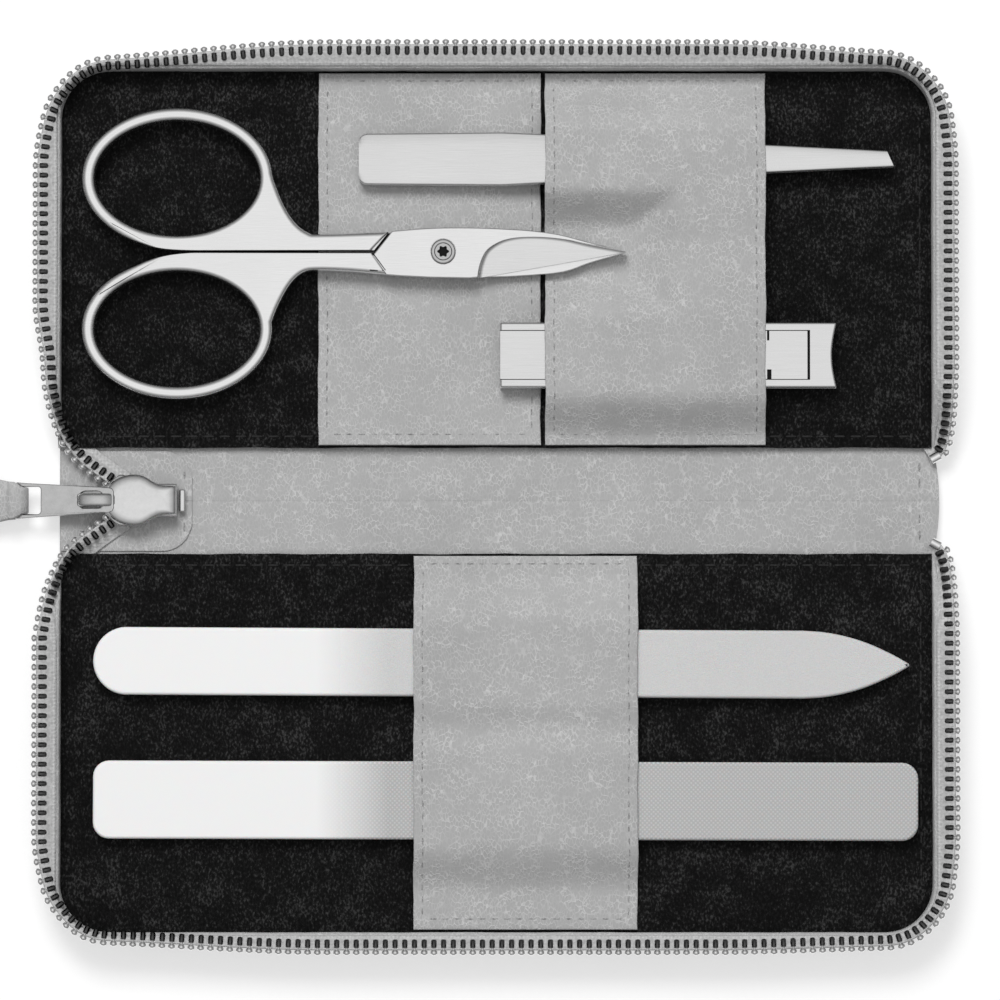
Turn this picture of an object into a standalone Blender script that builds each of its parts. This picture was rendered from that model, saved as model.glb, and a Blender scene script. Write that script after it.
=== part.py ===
"""A zipped leather manicure case, lying open and flat, with scissors, tweezers, nail clipper and two files.

Metres, +Z up. The origin is under the middle of the spine, on the plane that the case rests on.
+X runs along the spine, away from the zip slider. +Y points to the half that holds the steel tools.
"""

from math import cos, pi, radians, sin

import bmesh
import bpy
from mathutils import Matrix, Vector

# Leather case, plan sizes
LINING_CORNER = 0.0080
FOLD_Y = 0.0080
FOLD_Z = 0.0010
LINING_SETBACK = 0.00085
SEAT_GAP = 0.0003
COVER_RIM = 0.0015
ROOM_LEFT_OF_RINGS = 0.0035
ROOM_RIGHT_OF_TWEEZERS = 0.0070
ROOM_LEFT_OF_FILES = 0.0055
ROOM_RIGHT_OF_POINTED_FILE = 0.0037
ROOM_RIGHT_OF_SQUARE_FILE = 0.0025
ROOM_UNDER_RINGS = 0.00788
ROOM_OVER_RINGS = 0.00647
ROOM_BEFORE_POINTED_FILE = 0.0126
ROOM_BETWEEN_FILES = 0.01075
ROOM_BEHIND_SQUARE_FILE = 0.01535

# Leather case, layers
COVER_THICK = 0.0010
BOARD_THICK = 0.0008
LINING_THICK = 0.0006
SPINE_LINING_THICK = 0.0006
PATCH_THICK = 0.0007
FLAP_THICK = 0.0006
STRAP_THICK = 0.0008
LEATHER_EDGE = 0.0002

# Side wall, zip tape and zip teeth, as a section across the case edge
WALL_THICK = 0.0009
WALL_HIGH = 0.0062
WALL_LOW = 0.0024
WALL_LEAN = 0.0007
TAPE_THICK = 0.0006
TAPE_HIGH = 0.0084
TAPE_LOW = 0.0034
TAPE_REACH_HIGH = 0.0014
TAPE_REACH_LOW = 0.0006
BEAD_WIDTH = 0.0007
BEAD_HEIGHT = 0.0014
TOOTH_PITCH = 0.00161
TOOTH_WIDTH = 0.0009
TOOTH_LENGTH = 0.0014
TOOTH_HEIGHT = 0.0010
TOOTH_DROP = 0.0002
WALL_TAPER = 0.0120
TOP_STOP_LENGTH = 0.0022

# Straps and flap
REAR_STRAP_WIDTH = 0.0367
REAR_STRAP_INSET = 0.00753
REAR_FLAP_WIDTH = 0.03715
REAR_FLAP_GAP = 0.0007
FRONT_STRAP_WIDTH = 0.0373
FRONT_STRAP_REACH = 0.0588
STRAP_INSET = 0.0004
STRAP_SLOPE = 0.0030
STRAP_SIDE_CLEARANCE = 0.0005

# Spine
SPINE_LINING_WIDTH = 0.0114
PATCH_MARGIN = 0.0012
PATCH_CORNER = 0.0030

# Zip slider, puller and tab
SLIDER_INSET = 0.0107
SLIDER_LENGTH = 0.0090
SLIDER_WIDTH = 0.0086
SLIDER_NECK_WIDTH = 0.0055
SLIDER_PLATE = 0.0007
SLIDER_MOUTH = 0.0016
SLIDER_WEDGE_RADIUS = 0.0009
SLIDER_FLANGE = 0.0006
SLIDER_SHOULDER_SHARES = (0.22, 0.45, 0.72)
CAP_THICK = 0.0008
BRIDGE_REACH = 0.0020
BRIDGE_WIDTH = 0.0022
BRIDGE_WIRE = 0.0006
PULLER_LENGTH = 0.0172
PULLER_WIDE = 0.0062
PULLER_NARROW = 0.0041
PULLER_THICK = 0.0010
PULLER_BAR = 0.0008
PULLER_SLOT_LENGTH = 0.0045
PULLER_SLOT_WIDTH = 0.0029
PULLER_WINDOW_LENGTH = 0.0032
PULLER_WINDOW_WIDTH = 0.0046
PULLER_RIM = 0.0015
PULLER_EYE_RIM = 0.0021
PULLER_DROOP = radians(10.5)
TAB_LENGTH = 0.0270
TAB_WIDE = 0.0077
TAB_NECK = 0.0040
TAB_NECK_LENGTH = 0.0050
TAB_THICK = 0.0015
TAB_TIP_RADIUS = 0.0020
TAB_EYE = 0.00145
TAB_WALL = 0.0006
BOTTOM_STOP_WIDTH = 0.0038
BOTTOM_STOP_LENGTH = 0.0010
BOTTOM_STOP_HEIGHT = 0.0014
TAIL_WIDTH = 0.0007
TAIL_HEIGHT = 0.0009
TAIL_TOOTH_SHARE = 0.7

# Scissors
BLADE_TIP_REACH = 0.03063
BLADE_THICK = 0.0014
BLADE_GAP = 0.0003
HUB_HALF_WIDTH = 0.00408
RING_THICK = 0.0033
RING_EDGE = 0.0005
RING_TO_PIVOT = 0.04432
RING_OFFSET_UPPER = 0.01230
RING_OFFSET_LOWER = 0.01285
RING_HOLE_LONG = 0.01375
RING_HOLE_SHORT = 0.00960
RING_BAND = 0.00215
SCREW_HEAD_RADIUS = 0.00205
SCREW_SHANK_RADIUS = 0.0012
SCREW_HEAD_HEIGHT = 0.0006
SCREW_CLEARANCE = 0.0003
SCREW_SOCKET_RADIUS = 0.0009
SCREW_SOCKET_DEPTH = 0.0004
SCREW_LOBE_SHARE = 0.18
SCREW_PROUD = 0.0001
# Blade outlines: shares of the tip's reach along X and of the hub's half width along Y
TOP_BLADE_SHARES = (
    (-0.278, 0.84), (-0.07, 0.96), (0.147, 0.98), (0.364, 0.92), (0.50, 0.84), (0.636, 0.69),
    (0.80, 0.37), (1.0, 0.0), (0.211, -1.04), (0.146, -1.09), (-0.07, -1.06), (-0.234, -0.99),
    (-0.43, -0.92), (-0.43, -0.15), (-0.37, -0.04),
)
UNDER_BLADE_SHARES = (
    (-0.47, 0.77), (-0.278, 0.79), (-0.07, 0.90), (0.147, 0.92), (0.364, 0.86), (0.636, 0.62),
    (0.80, 0.31), (1.0, 0.0), (0.80, -0.43), (0.65, -0.81), (0.42, -0.97), (0.21, -1.01),
    (-0.234, -0.93), (-0.275, -0.66), (-0.362, 0.06), (-0.47, 0.06),
)
# Shank outlines: shares of the ring's distance along X and of its offset along Y
UNDER_SHANK_SHARES = (
    (-0.80, 1.60), (-0.703, 1.482), (-0.654, 1.184), (-0.631, 0.927), (-0.597, 0.629), (-0.556, 0.399),
    (-0.507, 0.264), (-0.458, 0.2436), (-0.199, 0.273), (-0.267, 0.0135), (-1.05, 0.0135),
    (-1.0, 0.6),
)
TOP_SHANK_SHARES = (
    (-0.80, 1.60), (-0.72, 1.5), (-0.671, 1.253), (-0.643, 0.916), (-0.6125, 0.656), (-0.571, 0.409),
    (-0.524, 0.266), (-0.465, 0.23), (-0.30, 0.29), (-0.2085, 0.253), (-0.265, 0.0195),
    (-1.05, 0.0135), (-1.0, 0.6),
)

# Tweezers
TWEEZERS_SLIDE_ROOM = 0.0143
TWEEZERS_LENGTH = 0.0886
TWEEZERS_SIDE_ROOM = 0.00699
TWEEZERS_WIDTH = 0.0089
TWEEZERS_TIP_WIDTH = 0.0027
TWEEZERS_ARM_THICK = 0.0011
TWEEZERS_BOW = 0.0009
TWEEZERS_TIP_GAP = 0.0009
TWEEZERS_WELD = 0.0090
TWEEZERS_END_RADIUS = 0.0014
TWEEZERS_SLANT = 0.0006
TWEEZERS_END_SHARE = 0.955
TWEEZERS_END_STEP_SHARES = (0.02, 0.2, 0.5)
TWEEZERS_FULL_SHARE = 0.27
TWEEZERS_SLANT_SHARE = 0.93
TWEEZERS_BOW_SHARE = 0.45

# Nail clipper
CLIPPER_SLIDE_ROOM = 0.03787
CLIPPER_LENGTH = 0.0561
CLIPPER_SIDE_ROOM = 0.0077
CLIPPER_WIDTH = 0.0109
CLIPPER_PLATE = 0.0007
CLIPPER_JAW_GAP = 0.0008
CLIPPER_JAW_HOLLOW = 0.0008
CLIPPER_RAIL = 0.0013
CLIPPER_RAIL_HEIGHT = 0.0016
CLIPPER_JAW_LENGTH = 0.0049
CLIPPER_SLOT = 0.0006
CLIPPER_NOTCH_INSET = 0.00657
CLIPPER_NOTCH_WIDTH = 0.0005
CLIPPER_NOTCH_DEPTH = 0.0015
CLIPPER_SIDE_GAP = 0.0003
CLIPPER_PIN_RADIUS = 0.0013
CLIPPER_PIN_INSET = 0.00927
CLIPPER_BLOCK = 0.0060

# Glass files
FILE_THICK = 0.0026
FILE_EDGE = 0.0005
POINTED_FILE_LENGTH = 0.1360
POINTED_FILE_WIDTH = 0.0113
POINTED_FILE_POINT = 0.0179
POINTED_FILE_BOW_SHARES = (
    (1.0, 0.0), (0.86, 0.27), (0.70, 0.50), (0.50, 0.72), (0.30, 0.88), (0.12, 0.97), (0.0, 1.0)
)
POINTED_FILE_TURN = radians(-0.33)
SQUARE_FILE_LENGTH = 0.1372
SQUARE_FILE_WIDTH = 0.0130
SQUARE_FILE_CORNER = 0.0027
SQUARE_FILE_TURN = radians(-0.17)

# Counts and cutting
CORNER_STEPS = 6
ROUND_STEPS = 32
RING_STEPS = 48
RING_TWEEZER_STEPS = 16
CUT_OVERRUN = 0.0010

# The case is made to hold its tools: its width and depth follow from them
RING_LENGTH = 2 * (RING_HOLE_LONG + RING_BAND)
RING_REACH_UPPER = RING_OFFSET_UPPER + RING_HOLE_SHORT + RING_BAND
RING_REACH_LOWER = RING_OFFSET_LOWER + RING_HOLE_SHORT + RING_BAND
TOOL_ROW = ROOM_LEFT_OF_RINGS + RING_LENGTH + TWEEZERS_SLIDE_ROOM + TWEEZERS_LENGTH + ROOM_RIGHT_OF_TWEEZERS
CLIPPER_ROW = ROOM_LEFT_OF_RINGS + RING_LENGTH + CLIPPER_SLIDE_ROOM + CLIPPER_LENGTH + ROOM_RIGHT_OF_TWEEZERS
LINING_WIDTH = max(
    TOOL_ROW,
    CLIPPER_ROW,
    ROOM_LEFT_OF_FILES + POINTED_FILE_LENGTH + ROOM_RIGHT_OF_POINTED_FILE,
    ROOM_LEFT_OF_FILES + SQUARE_FILE_LENGTH + ROOM_RIGHT_OF_SQUARE_FILE,
)
LINING_DEPTH = max(
    ROOM_UNDER_RINGS + RING_REACH_LOWER + RING_REACH_UPPER + ROOM_OVER_RINGS,
    ROOM_BEFORE_POINTED_FILE + POINTED_FILE_WIDTH + ROOM_BETWEEN_FILES + SQUARE_FILE_WIDTH
    + ROOM_BEHIND_SQUARE_FILE,
)

# Places of the tools, the straps and the slider
RING_CENTRE_X = -LINING_WIDTH / 2 + ROOM_LEFT_OF_RINGS + RING_LENGTH / 2
RING_END_X = RING_CENTRE_X + RING_LENGTH / 2
PIVOT_X = RING_CENTRE_X + RING_TO_PIVOT
PIVOT_Y = FOLD_Y + LINING_SETBACK + ROOM_UNDER_RINGS + RING_REACH_LOWER
TWEEZERS_LEFT = RING_END_X + TWEEZERS_SLIDE_ROOM
TWEEZERS_Y = PIVOT_Y + HUB_HALF_WIDTH + TWEEZERS_SIDE_ROOM + TWEEZERS_WIDTH / 2
CLIPPER_LEFT = RING_END_X + CLIPPER_SLIDE_ROOM
CLIPPER_Y = PIVOT_Y - HUB_HALF_WIDTH - CLIPPER_SIDE_ROOM - CLIPPER_WIDTH / 2
CLIPPER_LEVER_LENGTH = CLIPPER_LENGTH - CLIPPER_JAW_LENGTH
CLIPPER_NOTCH_X = CLIPPER_LEFT + CLIPPER_LEVER_LENGTH - CLIPPER_NOTCH_INSET
CLIPPER_PIN_X = CLIPPER_LEFT + CLIPPER_LEVER_LENGTH - CLIPPER_PIN_INSET
FILES_LEFT = -LINING_WIDTH / 2 + ROOM_LEFT_OF_FILES
POINTED_FILE_Y = -(FOLD_Y + LINING_SETBACK + ROOM_BEFORE_POINTED_FILE + POINTED_FILE_WIDTH / 2)
SQUARE_FILE_Y = POINTED_FILE_Y - POINTED_FILE_WIDTH / 2 - ROOM_BETWEEN_FILES - SQUARE_FILE_WIDTH / 2
REAR_STRAP_LEFT = CLIPPER_LEFT + REAR_STRAP_INSET
REAR_STRAP_RIGHT = REAR_STRAP_LEFT + REAR_STRAP_WIDTH
REAR_FLAP_RIGHT = REAR_STRAP_LEFT - REAR_FLAP_GAP
REAR_FLAP_LEFT = REAR_FLAP_RIGHT - REAR_FLAP_WIDTH
FRONT_STRAP_LEFT = -LINING_WIDTH / 2 + FRONT_STRAP_REACH
FRONT_STRAP_RIGHT = FRONT_STRAP_LEFT + FRONT_STRAP_WIDTH
SPINE_LENGTH = LINING_WIDTH + 2 * SEAT_GAP
SLIDER_LEFT = -SPINE_LENGTH / 2 + SLIDER_INSET
PATCH_LENGTH = SLIDER_INSET + SLIDER_LENGTH + SEAT_GAP + BOTTOM_STOP_LENGTH + PATCH_MARGIN

# Heights that follow from the layers
BOARD_Z = COVER_THICK + SEAT_GAP
LINING_Z = BOARD_Z + BOARD_THICK + SEAT_GAP
LINING_TOP = LINING_Z + LINING_THICK
FLAP_Z = LINING_TOP + SEAT_GAP
STEEL_Z = FLAP_Z + FLAP_THICK + SEAT_GAP
GLASS_Z = LINING_TOP + SEAT_GAP
CASE_EDGE_X = LINING_WIDTH / 2
CASE_EDGE_D = LINING_SETBACK + LINING_DEPTH
PATCH_TOP = COVER_THICK + SEAT_GAP + PATCH_THICK
SLIDER_Z = PATCH_TOP + SEAT_GAP
TAIL_Z = SLIDER_Z + SLIDER_PLATE + SEAT_GAP
SLIDER_TOP = SLIDER_Z + SLIDER_PLATE + SLIDER_MOUTH + SLIDER_PLATE
SIDE_RUN = LINING_DEPTH - LINING_CORNER
BEND_RADIUS = LINING_CORNER + TAPE_REACH_HIGH + TAPE_THICK
BEND_RUN = BEND_RADIUS * pi / 2
FAR_RUN = LINING_WIDTH - 2 * LINING_CORNER
EDGE_RUN = 2 * SIDE_RUN + 2 * BEND_RUN + FAR_RUN
SCISSOR_Z = FLAP_Z + STRAP_THICK + SEAT_GAP
RING_Z = STEEL_Z
TOP_BLADE_Z = SCISSOR_Z + BLADE_THICK + BLADE_GAP
TWEEZERS_TOP = STEEL_Z + 2 * TWEEZERS_ARM_THICK + SEAT_GAP + TWEEZERS_BOW
CLIPPER_WEB_Z = STEEL_Z + CLIPPER_PLATE + CLIPPER_JAW_GAP
CLIPPER_TOP = CLIPPER_WEB_Z + CLIPPER_RAIL_HEIGHT
BRIDGE_X = SLIDER_LEFT - BRIDGE_REACH
BRIDGE_Z = SLIDER_TOP + SEAT_GAP + PULLER_BAR / 2
EYE_BACK = PULLER_LENGTH - PULLER_EYE_RIM / 2
EYE_X = BRIDGE_X - EYE_BACK * cos(PULLER_DROOP)
EYE_Z = BRIDGE_Z - EYE_BACK * sin(PULLER_DROOP)

# Which half a piece belongs to: the sign of its Y
REAR = 1
FRONT = -1


def clear_scene():
    """Remove every object, so that the script builds the same model each time."""
    for item in list(bpy.data.objects):
        bpy.data.objects.remove(item, do_unlink=True)


def new_collection(name, hidden=False):
    """Make a collection under the scene's own."""
    group = bpy.data.collections.new(name)
    group.hide_render = hidden
    bpy.context.scene.collection.children.link(group)
    return group


def finish(name, colour, roughness, metallic=0.0):
    """Make a Principled material."""
    material = bpy.data.materials.new(name)
    material.use_nodes = True
    shader = material.node_tree.nodes["Principled BSDF"]
    shader.inputs["Base Color"].default_value = (*colour, 1.0)
    shader.inputs["Roughness"].default_value = roughness
    shader.inputs["Metallic"].default_value = metallic
    material.diffuse_color = (*colour, 1.0)
    return material


def ease(share):
    """A smooth step from 0 to 1."""
    share = min(max(share, 0.0), 1.0)
    return share * share * (3 - 2 * share)


def blend(low, high, share):
    """The value that lies this share of the way from low to high."""
    return low + (high - low) * share


def add_piece(name, mesh, material, group=None):
    """Put a mesh into the model as one named sub-part."""
    piece = bpy.data.objects.new(name, mesh)
    mesh.materials.clear()
    mesh.materials.append(material)
    (group or PARTS).objects.link(piece)
    return piece


def closed_mesh(name, points, faces):
    """A mesh of these points and faces, welded and facing out."""
    mesh = bpy.data.meshes.new(name)
    mesh.from_pydata(points, [], faces)
    tidy_mesh(mesh)
    return mesh


def tidy_mesh(mesh, weld=1e-7):
    """Weld the seams of a mesh and turn its faces out."""
    shape = bmesh.new()
    shape.from_mesh(mesh)
    bmesh.ops.remove_doubles(shape, verts=shape.verts, dist=weld)
    bmesh.ops.recalc_face_normals(shape, faces=shape.faces)
    shape.to_mesh(mesh)
    shape.free()


def outline_mesh(name, loops, bottom, thickness):
    """Extrude a flat outline, with any holes as further loops, from a 2D curve."""
    curve = bpy.data.curves.new(name, "CURVE")
    curve.dimensions = "2D"
    curve.fill_mode = "BOTH"
    curve.extrude = thickness / 2
    for loop in loops:
        spline = curve.splines.new("POLY")
        spline.points.add(len(loop) - 1)
        for point, (x, y) in zip(spline.points, loop):
            point.co = (x, y, 0, 1)
        spline.use_cyclic_u = True
    guide = bpy.data.objects.new(name + "_outline", curve)
    GUIDES.objects.link(guide)
    bpy.context.view_layer.update()
    graph = bpy.context.evaluated_depsgraph_get()
    mesh = bpy.data.meshes.new_from_object(guide.evaluated_get(graph))
    mesh.name = name
    mesh.transform(Matrix.Translation((0, 0, bottom + thickness / 2)))
    bpy.data.objects.remove(guide, do_unlink=True)
    tidy_mesh(mesh)
    return mesh


def side_mesh(name, loops, low, high):
    """Extrude an outline drawn in (y, z) along X, from low to high."""
    mesh = outline_mesh(name, loops, low, high - low)
    mesh.transform(Matrix(((0, 0, 1, 0), (1, 0, 0, 0), (0, 1, 0, 0), (0, 0, 0, 1))))
    tidy_mesh(mesh)
    return mesh


def profile_mesh(name, loops, half_width, centre_y=0):
    """Extrude an outline drawn in (x, z) along Y, half_width to each side of centre_y."""
    mesh = outline_mesh(name, loops, centre_y - half_width, 2 * half_width)
    mesh.transform(Matrix(((1, 0, 0, 0), (0, 0, 1, 0), (0, 1, 0, 0), (0, 0, 0, 1))))
    tidy_mesh(mesh)
    return mesh


def loft_mesh(name, rings):
    """Skin a row of rings with equal counts of points, and close both ends."""
    count = len(rings[0])
    points = [point for ring in rings for point in ring]
    faces = []
    for step in range(len(rings) - 1):
        for corner in range(count):
            after = (corner + 1) % count
            low, high = step * count, (step + 1) * count
            faces.append((low + corner, low + after, high + after, high + corner))
    faces.append(tuple(range(count)))
    faces.append(tuple(range((len(rings) - 1) * count, len(rings) * count)))
    return closed_mesh(name, points, faces)


def round_edges(piece, width, angle=radians(40), segments=1):
    """Bevel the sharp edges of a piece."""
    bevel = piece.modifiers.new("rounded edges", "BEVEL")
    bevel.width = width
    bevel.segments = segments
    bevel.limit_method = "ANGLE"
    bevel.angle_limit = angle
    bevel.harden_normals = False
    return bevel


def smooth(piece, angle=radians(35)):
    """Shade a round piece smooth, with its real edges sharp."""
    piece.data.shade_smooth()
    piece.data.set_sharp_from_angle(angle=angle)


def cutter(name, mesh):
    """Keep a mesh as a hidden cutting tool."""
    tool = bpy.data.objects.new(name, mesh)
    tool.hide_render = True
    tool.display_type = "WIRE"
    CUTTERS.objects.link(tool)
    return tool


def combine(piece, other, operation):
    """Join or cut a piece with another object."""
    boolean = piece.modifiers.new(other.name, "BOOLEAN")
    boolean.operation = operation
    boolean.object = other
    boolean.solver = "EXACT"


def cylinder_mesh(name, radius, low, high, steps=ROUND_STEPS, place=(0, 0)):
    """An upright cylinder from low to high."""
    shape = bmesh.new()
    bmesh.ops.create_cone(
        shape, cap_ends=True, segments=steps, radius1=radius, radius2=radius, depth=high - low
    )
    mesh = bpy.data.meshes.new(name)
    shape.to_mesh(mesh)
    shape.free()
    mesh.transform(Matrix.Translation((*place, (low + high) / 2)))
    return mesh


def box_mesh(name, low, high):
    """A box between two corners."""
    shape = bmesh.new()
    bmesh.ops.create_cube(shape, size=1)
    mesh = bpy.data.meshes.new(name)
    shape.to_mesh(mesh)
    shape.free()
    low, high = Vector(low), Vector(high)
    size = high - low
    mesh.transform(Matrix.Translation((low + high) / 2) @ Matrix.Diagonal((*size, 1)))
    return mesh


def arc(centre, radius, start, end, steps):
    """Points of an arc, both ends included. The radius may be a pair for an ellipse."""
    wide, deep = radius if isinstance(radius, tuple) else (radius, radius)
    angles = [blend(start, end, step / steps) for step in range(steps + 1)]
    return [(centre[0] + wide * cos(a), centre[1] + deep * sin(a)) for a in angles]


def oval(centre, radius, steps=RING_STEPS):
    """A closed ellipse."""
    return arc(centre, radius, 0, 2 * pi, steps)[:-1]


def rounded_box(left, right, low, high, radius, steps=CORNER_STEPS):
    """A rectangle with four round corners."""
    return (
        arc((right - radius, high - radius), radius, 0, pi / 2, steps)
        + arc((left + radius, high - radius), radius, pi / 2, pi, steps)
        + arc((left + radius, low + radius), radius, pi, 3 * pi / 2, steps)
        + arc((right - radius, low + radius), radius, 3 * pi / 2, 2 * pi, steps)
    )


def through_points(points, steps, closed=False):
    """A smooth line through a few points, as a Catmull-Rom spline."""
    count = len(points)
    spans = count if closed else count - 1
    line = []
    for span in range(spans):
        if closed:
            a, b, c, d = (Vector(points[(span + shift) % count]) for shift in (-1, 0, 1, 2))
        else:
            b, c = Vector(points[span]), Vector(points[span + 1])
            a = Vector(points[span - 1]) if span else b
            d = Vector(points[span + 2]) if span + 2 < count else c
        for step in range(steps):
            t = step / steps
            place = (
                2 * b
                + (c - a) * t
                + (2 * a - 5 * b + 4 * c - d) * t**2
                + (3 * b - a - 3 * c + d) * t**3
            ) / 2
            line.append(tuple(place))
    if not closed:
        line.append(tuple(points[-1]))
    return line


def mirrored_outline(points, side):
    """Turn (x, d) points, with d measured from the fold, into (x, y) points of one half."""
    return [(x, side * (FOLD_Y + d)) for x, d in points]


def edge_place(run):
    """Where the case edge is at this distance along it, from the left end of one fold round to the right.

    Gives x, d from the fold, the outward direction, and how far the wall stands up there, from 0 to 1.
    """
    mirrored = run > EDGE_RUN / 2
    half = EDGE_RUN - run if mirrored else run
    if half <= SIDE_RUN:
        x, d, out_x, out_d = -CASE_EDGE_X, LINING_SETBACK + half, -1.0, 0.0
    elif half <= SIDE_RUN + BEND_RUN:
        angle = (half - SIDE_RUN) / BEND_RADIUS
        x = -CASE_EDGE_X + LINING_CORNER * (1 - cos(angle))
        d = CASE_EDGE_D - LINING_CORNER * (1 - sin(angle))
        out_x, out_d = -cos(angle), sin(angle)
    else:
        x = -CASE_EDGE_X + LINING_CORNER + half - SIDE_RUN - BEND_RUN
        d, out_x, out_d = CASE_EDGE_D, 0.0, 1.0
    full = ease(half / WALL_TAPER)
    return (-x if mirrored else x), d, (-out_x if mirrored else out_x), out_d, full


def edge_runs():
    """The distances along the case edge at which the wall needs a section."""
    taper = [WALL_TAPER * step / CORNER_STEPS for step in range(CORNER_STEPS)]
    bend = [SIDE_RUN + BEND_RUN * step / CORNER_STEPS for step in range(CORNER_STEPS + 1)]
    half = taper + [WALL_TAPER] + bend
    return half + [EDGE_RUN - run for run in reversed(half)]


def edge_loft(name, side, section):
    """Sweep a section, which is drawn out from the lining's edge, all along the edge of one half."""
    rings = []
    for run in edge_runs():
        x, d, out_x, out_d, full = edge_place(run)
        rings.append(
            [(x + out_x * u, side * (FOLD_Y + d + out_d * u), z) for u, z in section(full)]
        )
    return loft_mesh(name, rings)


def wall_section(full):
    """The leather side wall, which stands on the rim of the cover and leans out."""
    top = blend(WALL_LOW, WALL_HIGH, full)
    lean = WALL_LEAN * full
    bottom = COVER_THICK + SEAT_GAP
    return [
        (SEAT_GAP, bottom),
        (SEAT_GAP + WALL_THICK, bottom),
        (SEAT_GAP + WALL_THICK + lean, top),
        (SEAT_GAP + lean, top),
    ]


def tape_line(full):
    """The zip tape's upper inner edge: its reach out from the lining's edge, and its height."""
    return blend(TAPE_REACH_LOW, TAPE_REACH_HIGH, full), blend(TAPE_LOW, TAPE_HIGH, full)


def tape_section(full):
    """The zip tape, which stands on the side wall."""
    reach, top = tape_line(full)
    inner = SEAT_GAP + WALL_LEAN * full
    bottom = blend(WALL_LOW, WALL_HIGH, full) + SEAT_GAP
    return [
        (inner, bottom),
        (inner + TAPE_THICK, bottom),
        (reach + TAPE_THICK, top),
        (reach, top),
    ]


def bead_section(full):
    """The bead along the tape's outer face, which the teeth grow from."""
    reach, top = tape_line(full)
    inner = reach + TAPE_THICK + SEAT_GAP
    return [
        (inner, top - BEAD_HEIGHT),
        (inner + BEAD_WIDTH, top - BEAD_HEIGHT),
        (inner + BEAD_WIDTH, top),
        (inner, top),
    ]


def add_tooth(points, faces, root, out, along, height):
    """Add one tooth: a block that narrows towards its head."""
    start = len(points)
    up = Vector((0, 0, height))
    for reach, half in ((0, TOOTH_WIDTH / 2), (TOOTH_LENGTH, TOOTH_WIDTH * 3 / 8)):
        for lift in (0, 1):
            for way in (-1, 1):
                points.append(tuple(root + out * reach + along * way * half + up * lift))
    for corners in (
        (0, 1, 3, 2), (4, 6, 7, 5), (0, 4, 5, 1), (2, 3, 7, 6), (0, 2, 6, 4), (1, 5, 7, 3)
    ):
        faces.append(tuple(start + corner for corner in corners))


def zip_chain(side, name):
    """The zip's teeth along one half, in one piece with the bead that carries them."""
    chain = add_piece(name, edge_loft(name, side, bead_section), STEEL)
    points, faces = [], []
    count = int(EDGE_RUN / TOOTH_PITCH)
    margin = (EDGE_RUN - (count - 1) * TOOTH_PITCH) / 2
    for number in range(count):
        x, d, out_x, out_d, full = edge_place(margin + number * TOOTH_PITCH)
        reach, top = tape_line(full)
        root_reach = reach + TAPE_THICK + SEAT_GAP + BEAD_WIDTH / 2
        root = Vector(
            (
                x + out_x * root_reach,
                side * (FOLD_Y + d + out_d * root_reach),
                top - TOOTH_DROP - TOOTH_HEIGHT,
            )
        )
        out = Vector((out_x, side * out_d, 0))
        along = Vector((-out.y, out.x, 0))
        add_tooth(points, faces, root, out, along, TOOTH_HEIGHT)
    teeth = cutter(name + "_teeth", closed_mesh(name + "_teeth", points, faces))
    combine(chain, teeth, "UNION")
    return chain


def top_stop(side, name):
    """The metal stop clamped on the end of the teeth, by the right end of the fold."""
    x, d, out_x, out_d, full = edge_place(EDGE_RUN)
    reach, top = tape_line(full)
    left = x + reach + TAPE_THICK + SEAT_GAP
    front, back = FOLD_Y + d - SEAT_GAP - TOP_STOP_LENGTH, FOLD_Y + d - SEAT_GAP
    low, high = sorted((side * front, side * back))
    mesh = box_mesh(
        name, (left, low, top - BEAD_HEIGHT), (left + BEAD_WIDTH + TOOTH_LENGTH / 2, high, top)
    )
    stop = add_piece(name, mesh, STEEL)
    round_edges(stop, LEATHER_EDGE)
    return stop


def half_outline(grow, start):
    """The outline of one half, grown past the lining's edge, from a start just past the fold."""
    corner = LINING_CORNER + grow
    edge_x, edge_d = CASE_EDGE_X + grow, CASE_EDGE_D + grow
    return (
        [(edge_x, start)]
        + arc((edge_x - corner, edge_d - corner), corner, 0, pi / 2, CORNER_STEPS)
        + arc((corner - edge_x, edge_d - corner), corner, pi / 2, pi, CORNER_STEPS)
        + [(-edge_x, start)]
    )


def layer(name, side, grow, start, bottom, thickness, material):
    """One flat layer of a half: cover, board or lining."""
    outline = mirrored_outline(half_outline(grow, start), side)
    piece = add_piece(name, outline_mesh(name, [outline], bottom, thickness), material)
    round_edges(piece, LEATHER_EDGE)
    return piece


def strap(name, side, left, right, tools):
    """A leather strap sewn down at both ends, arched over tools given as (middle, half width, top)."""
    inner = [(LINING_SETBACK + STRAP_INSET, FLAP_Z)]
    for middle, half, top in tools:
        shoulder = half + STRAP_SIDE_CLEARANCE
        inner += [
            (middle - shoulder - STRAP_SLOPE, FLAP_Z),
            (middle - shoulder, top + SEAT_GAP),
            (middle + shoulder, top + SEAT_GAP),
            (middle + shoulder + STRAP_SLOPE, FLAP_Z),
        ]
    inner.append((CASE_EDGE_D - STRAP_INSET, FLAP_Z))
    outer = [(d, z + STRAP_THICK) for d, z in reversed(inner)]
    section = [(side * (FOLD_Y + d), z) for d, z in inner + outer]
    return add_piece(name, side_mesh(name, [section], left, right), LEATHER)


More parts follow.
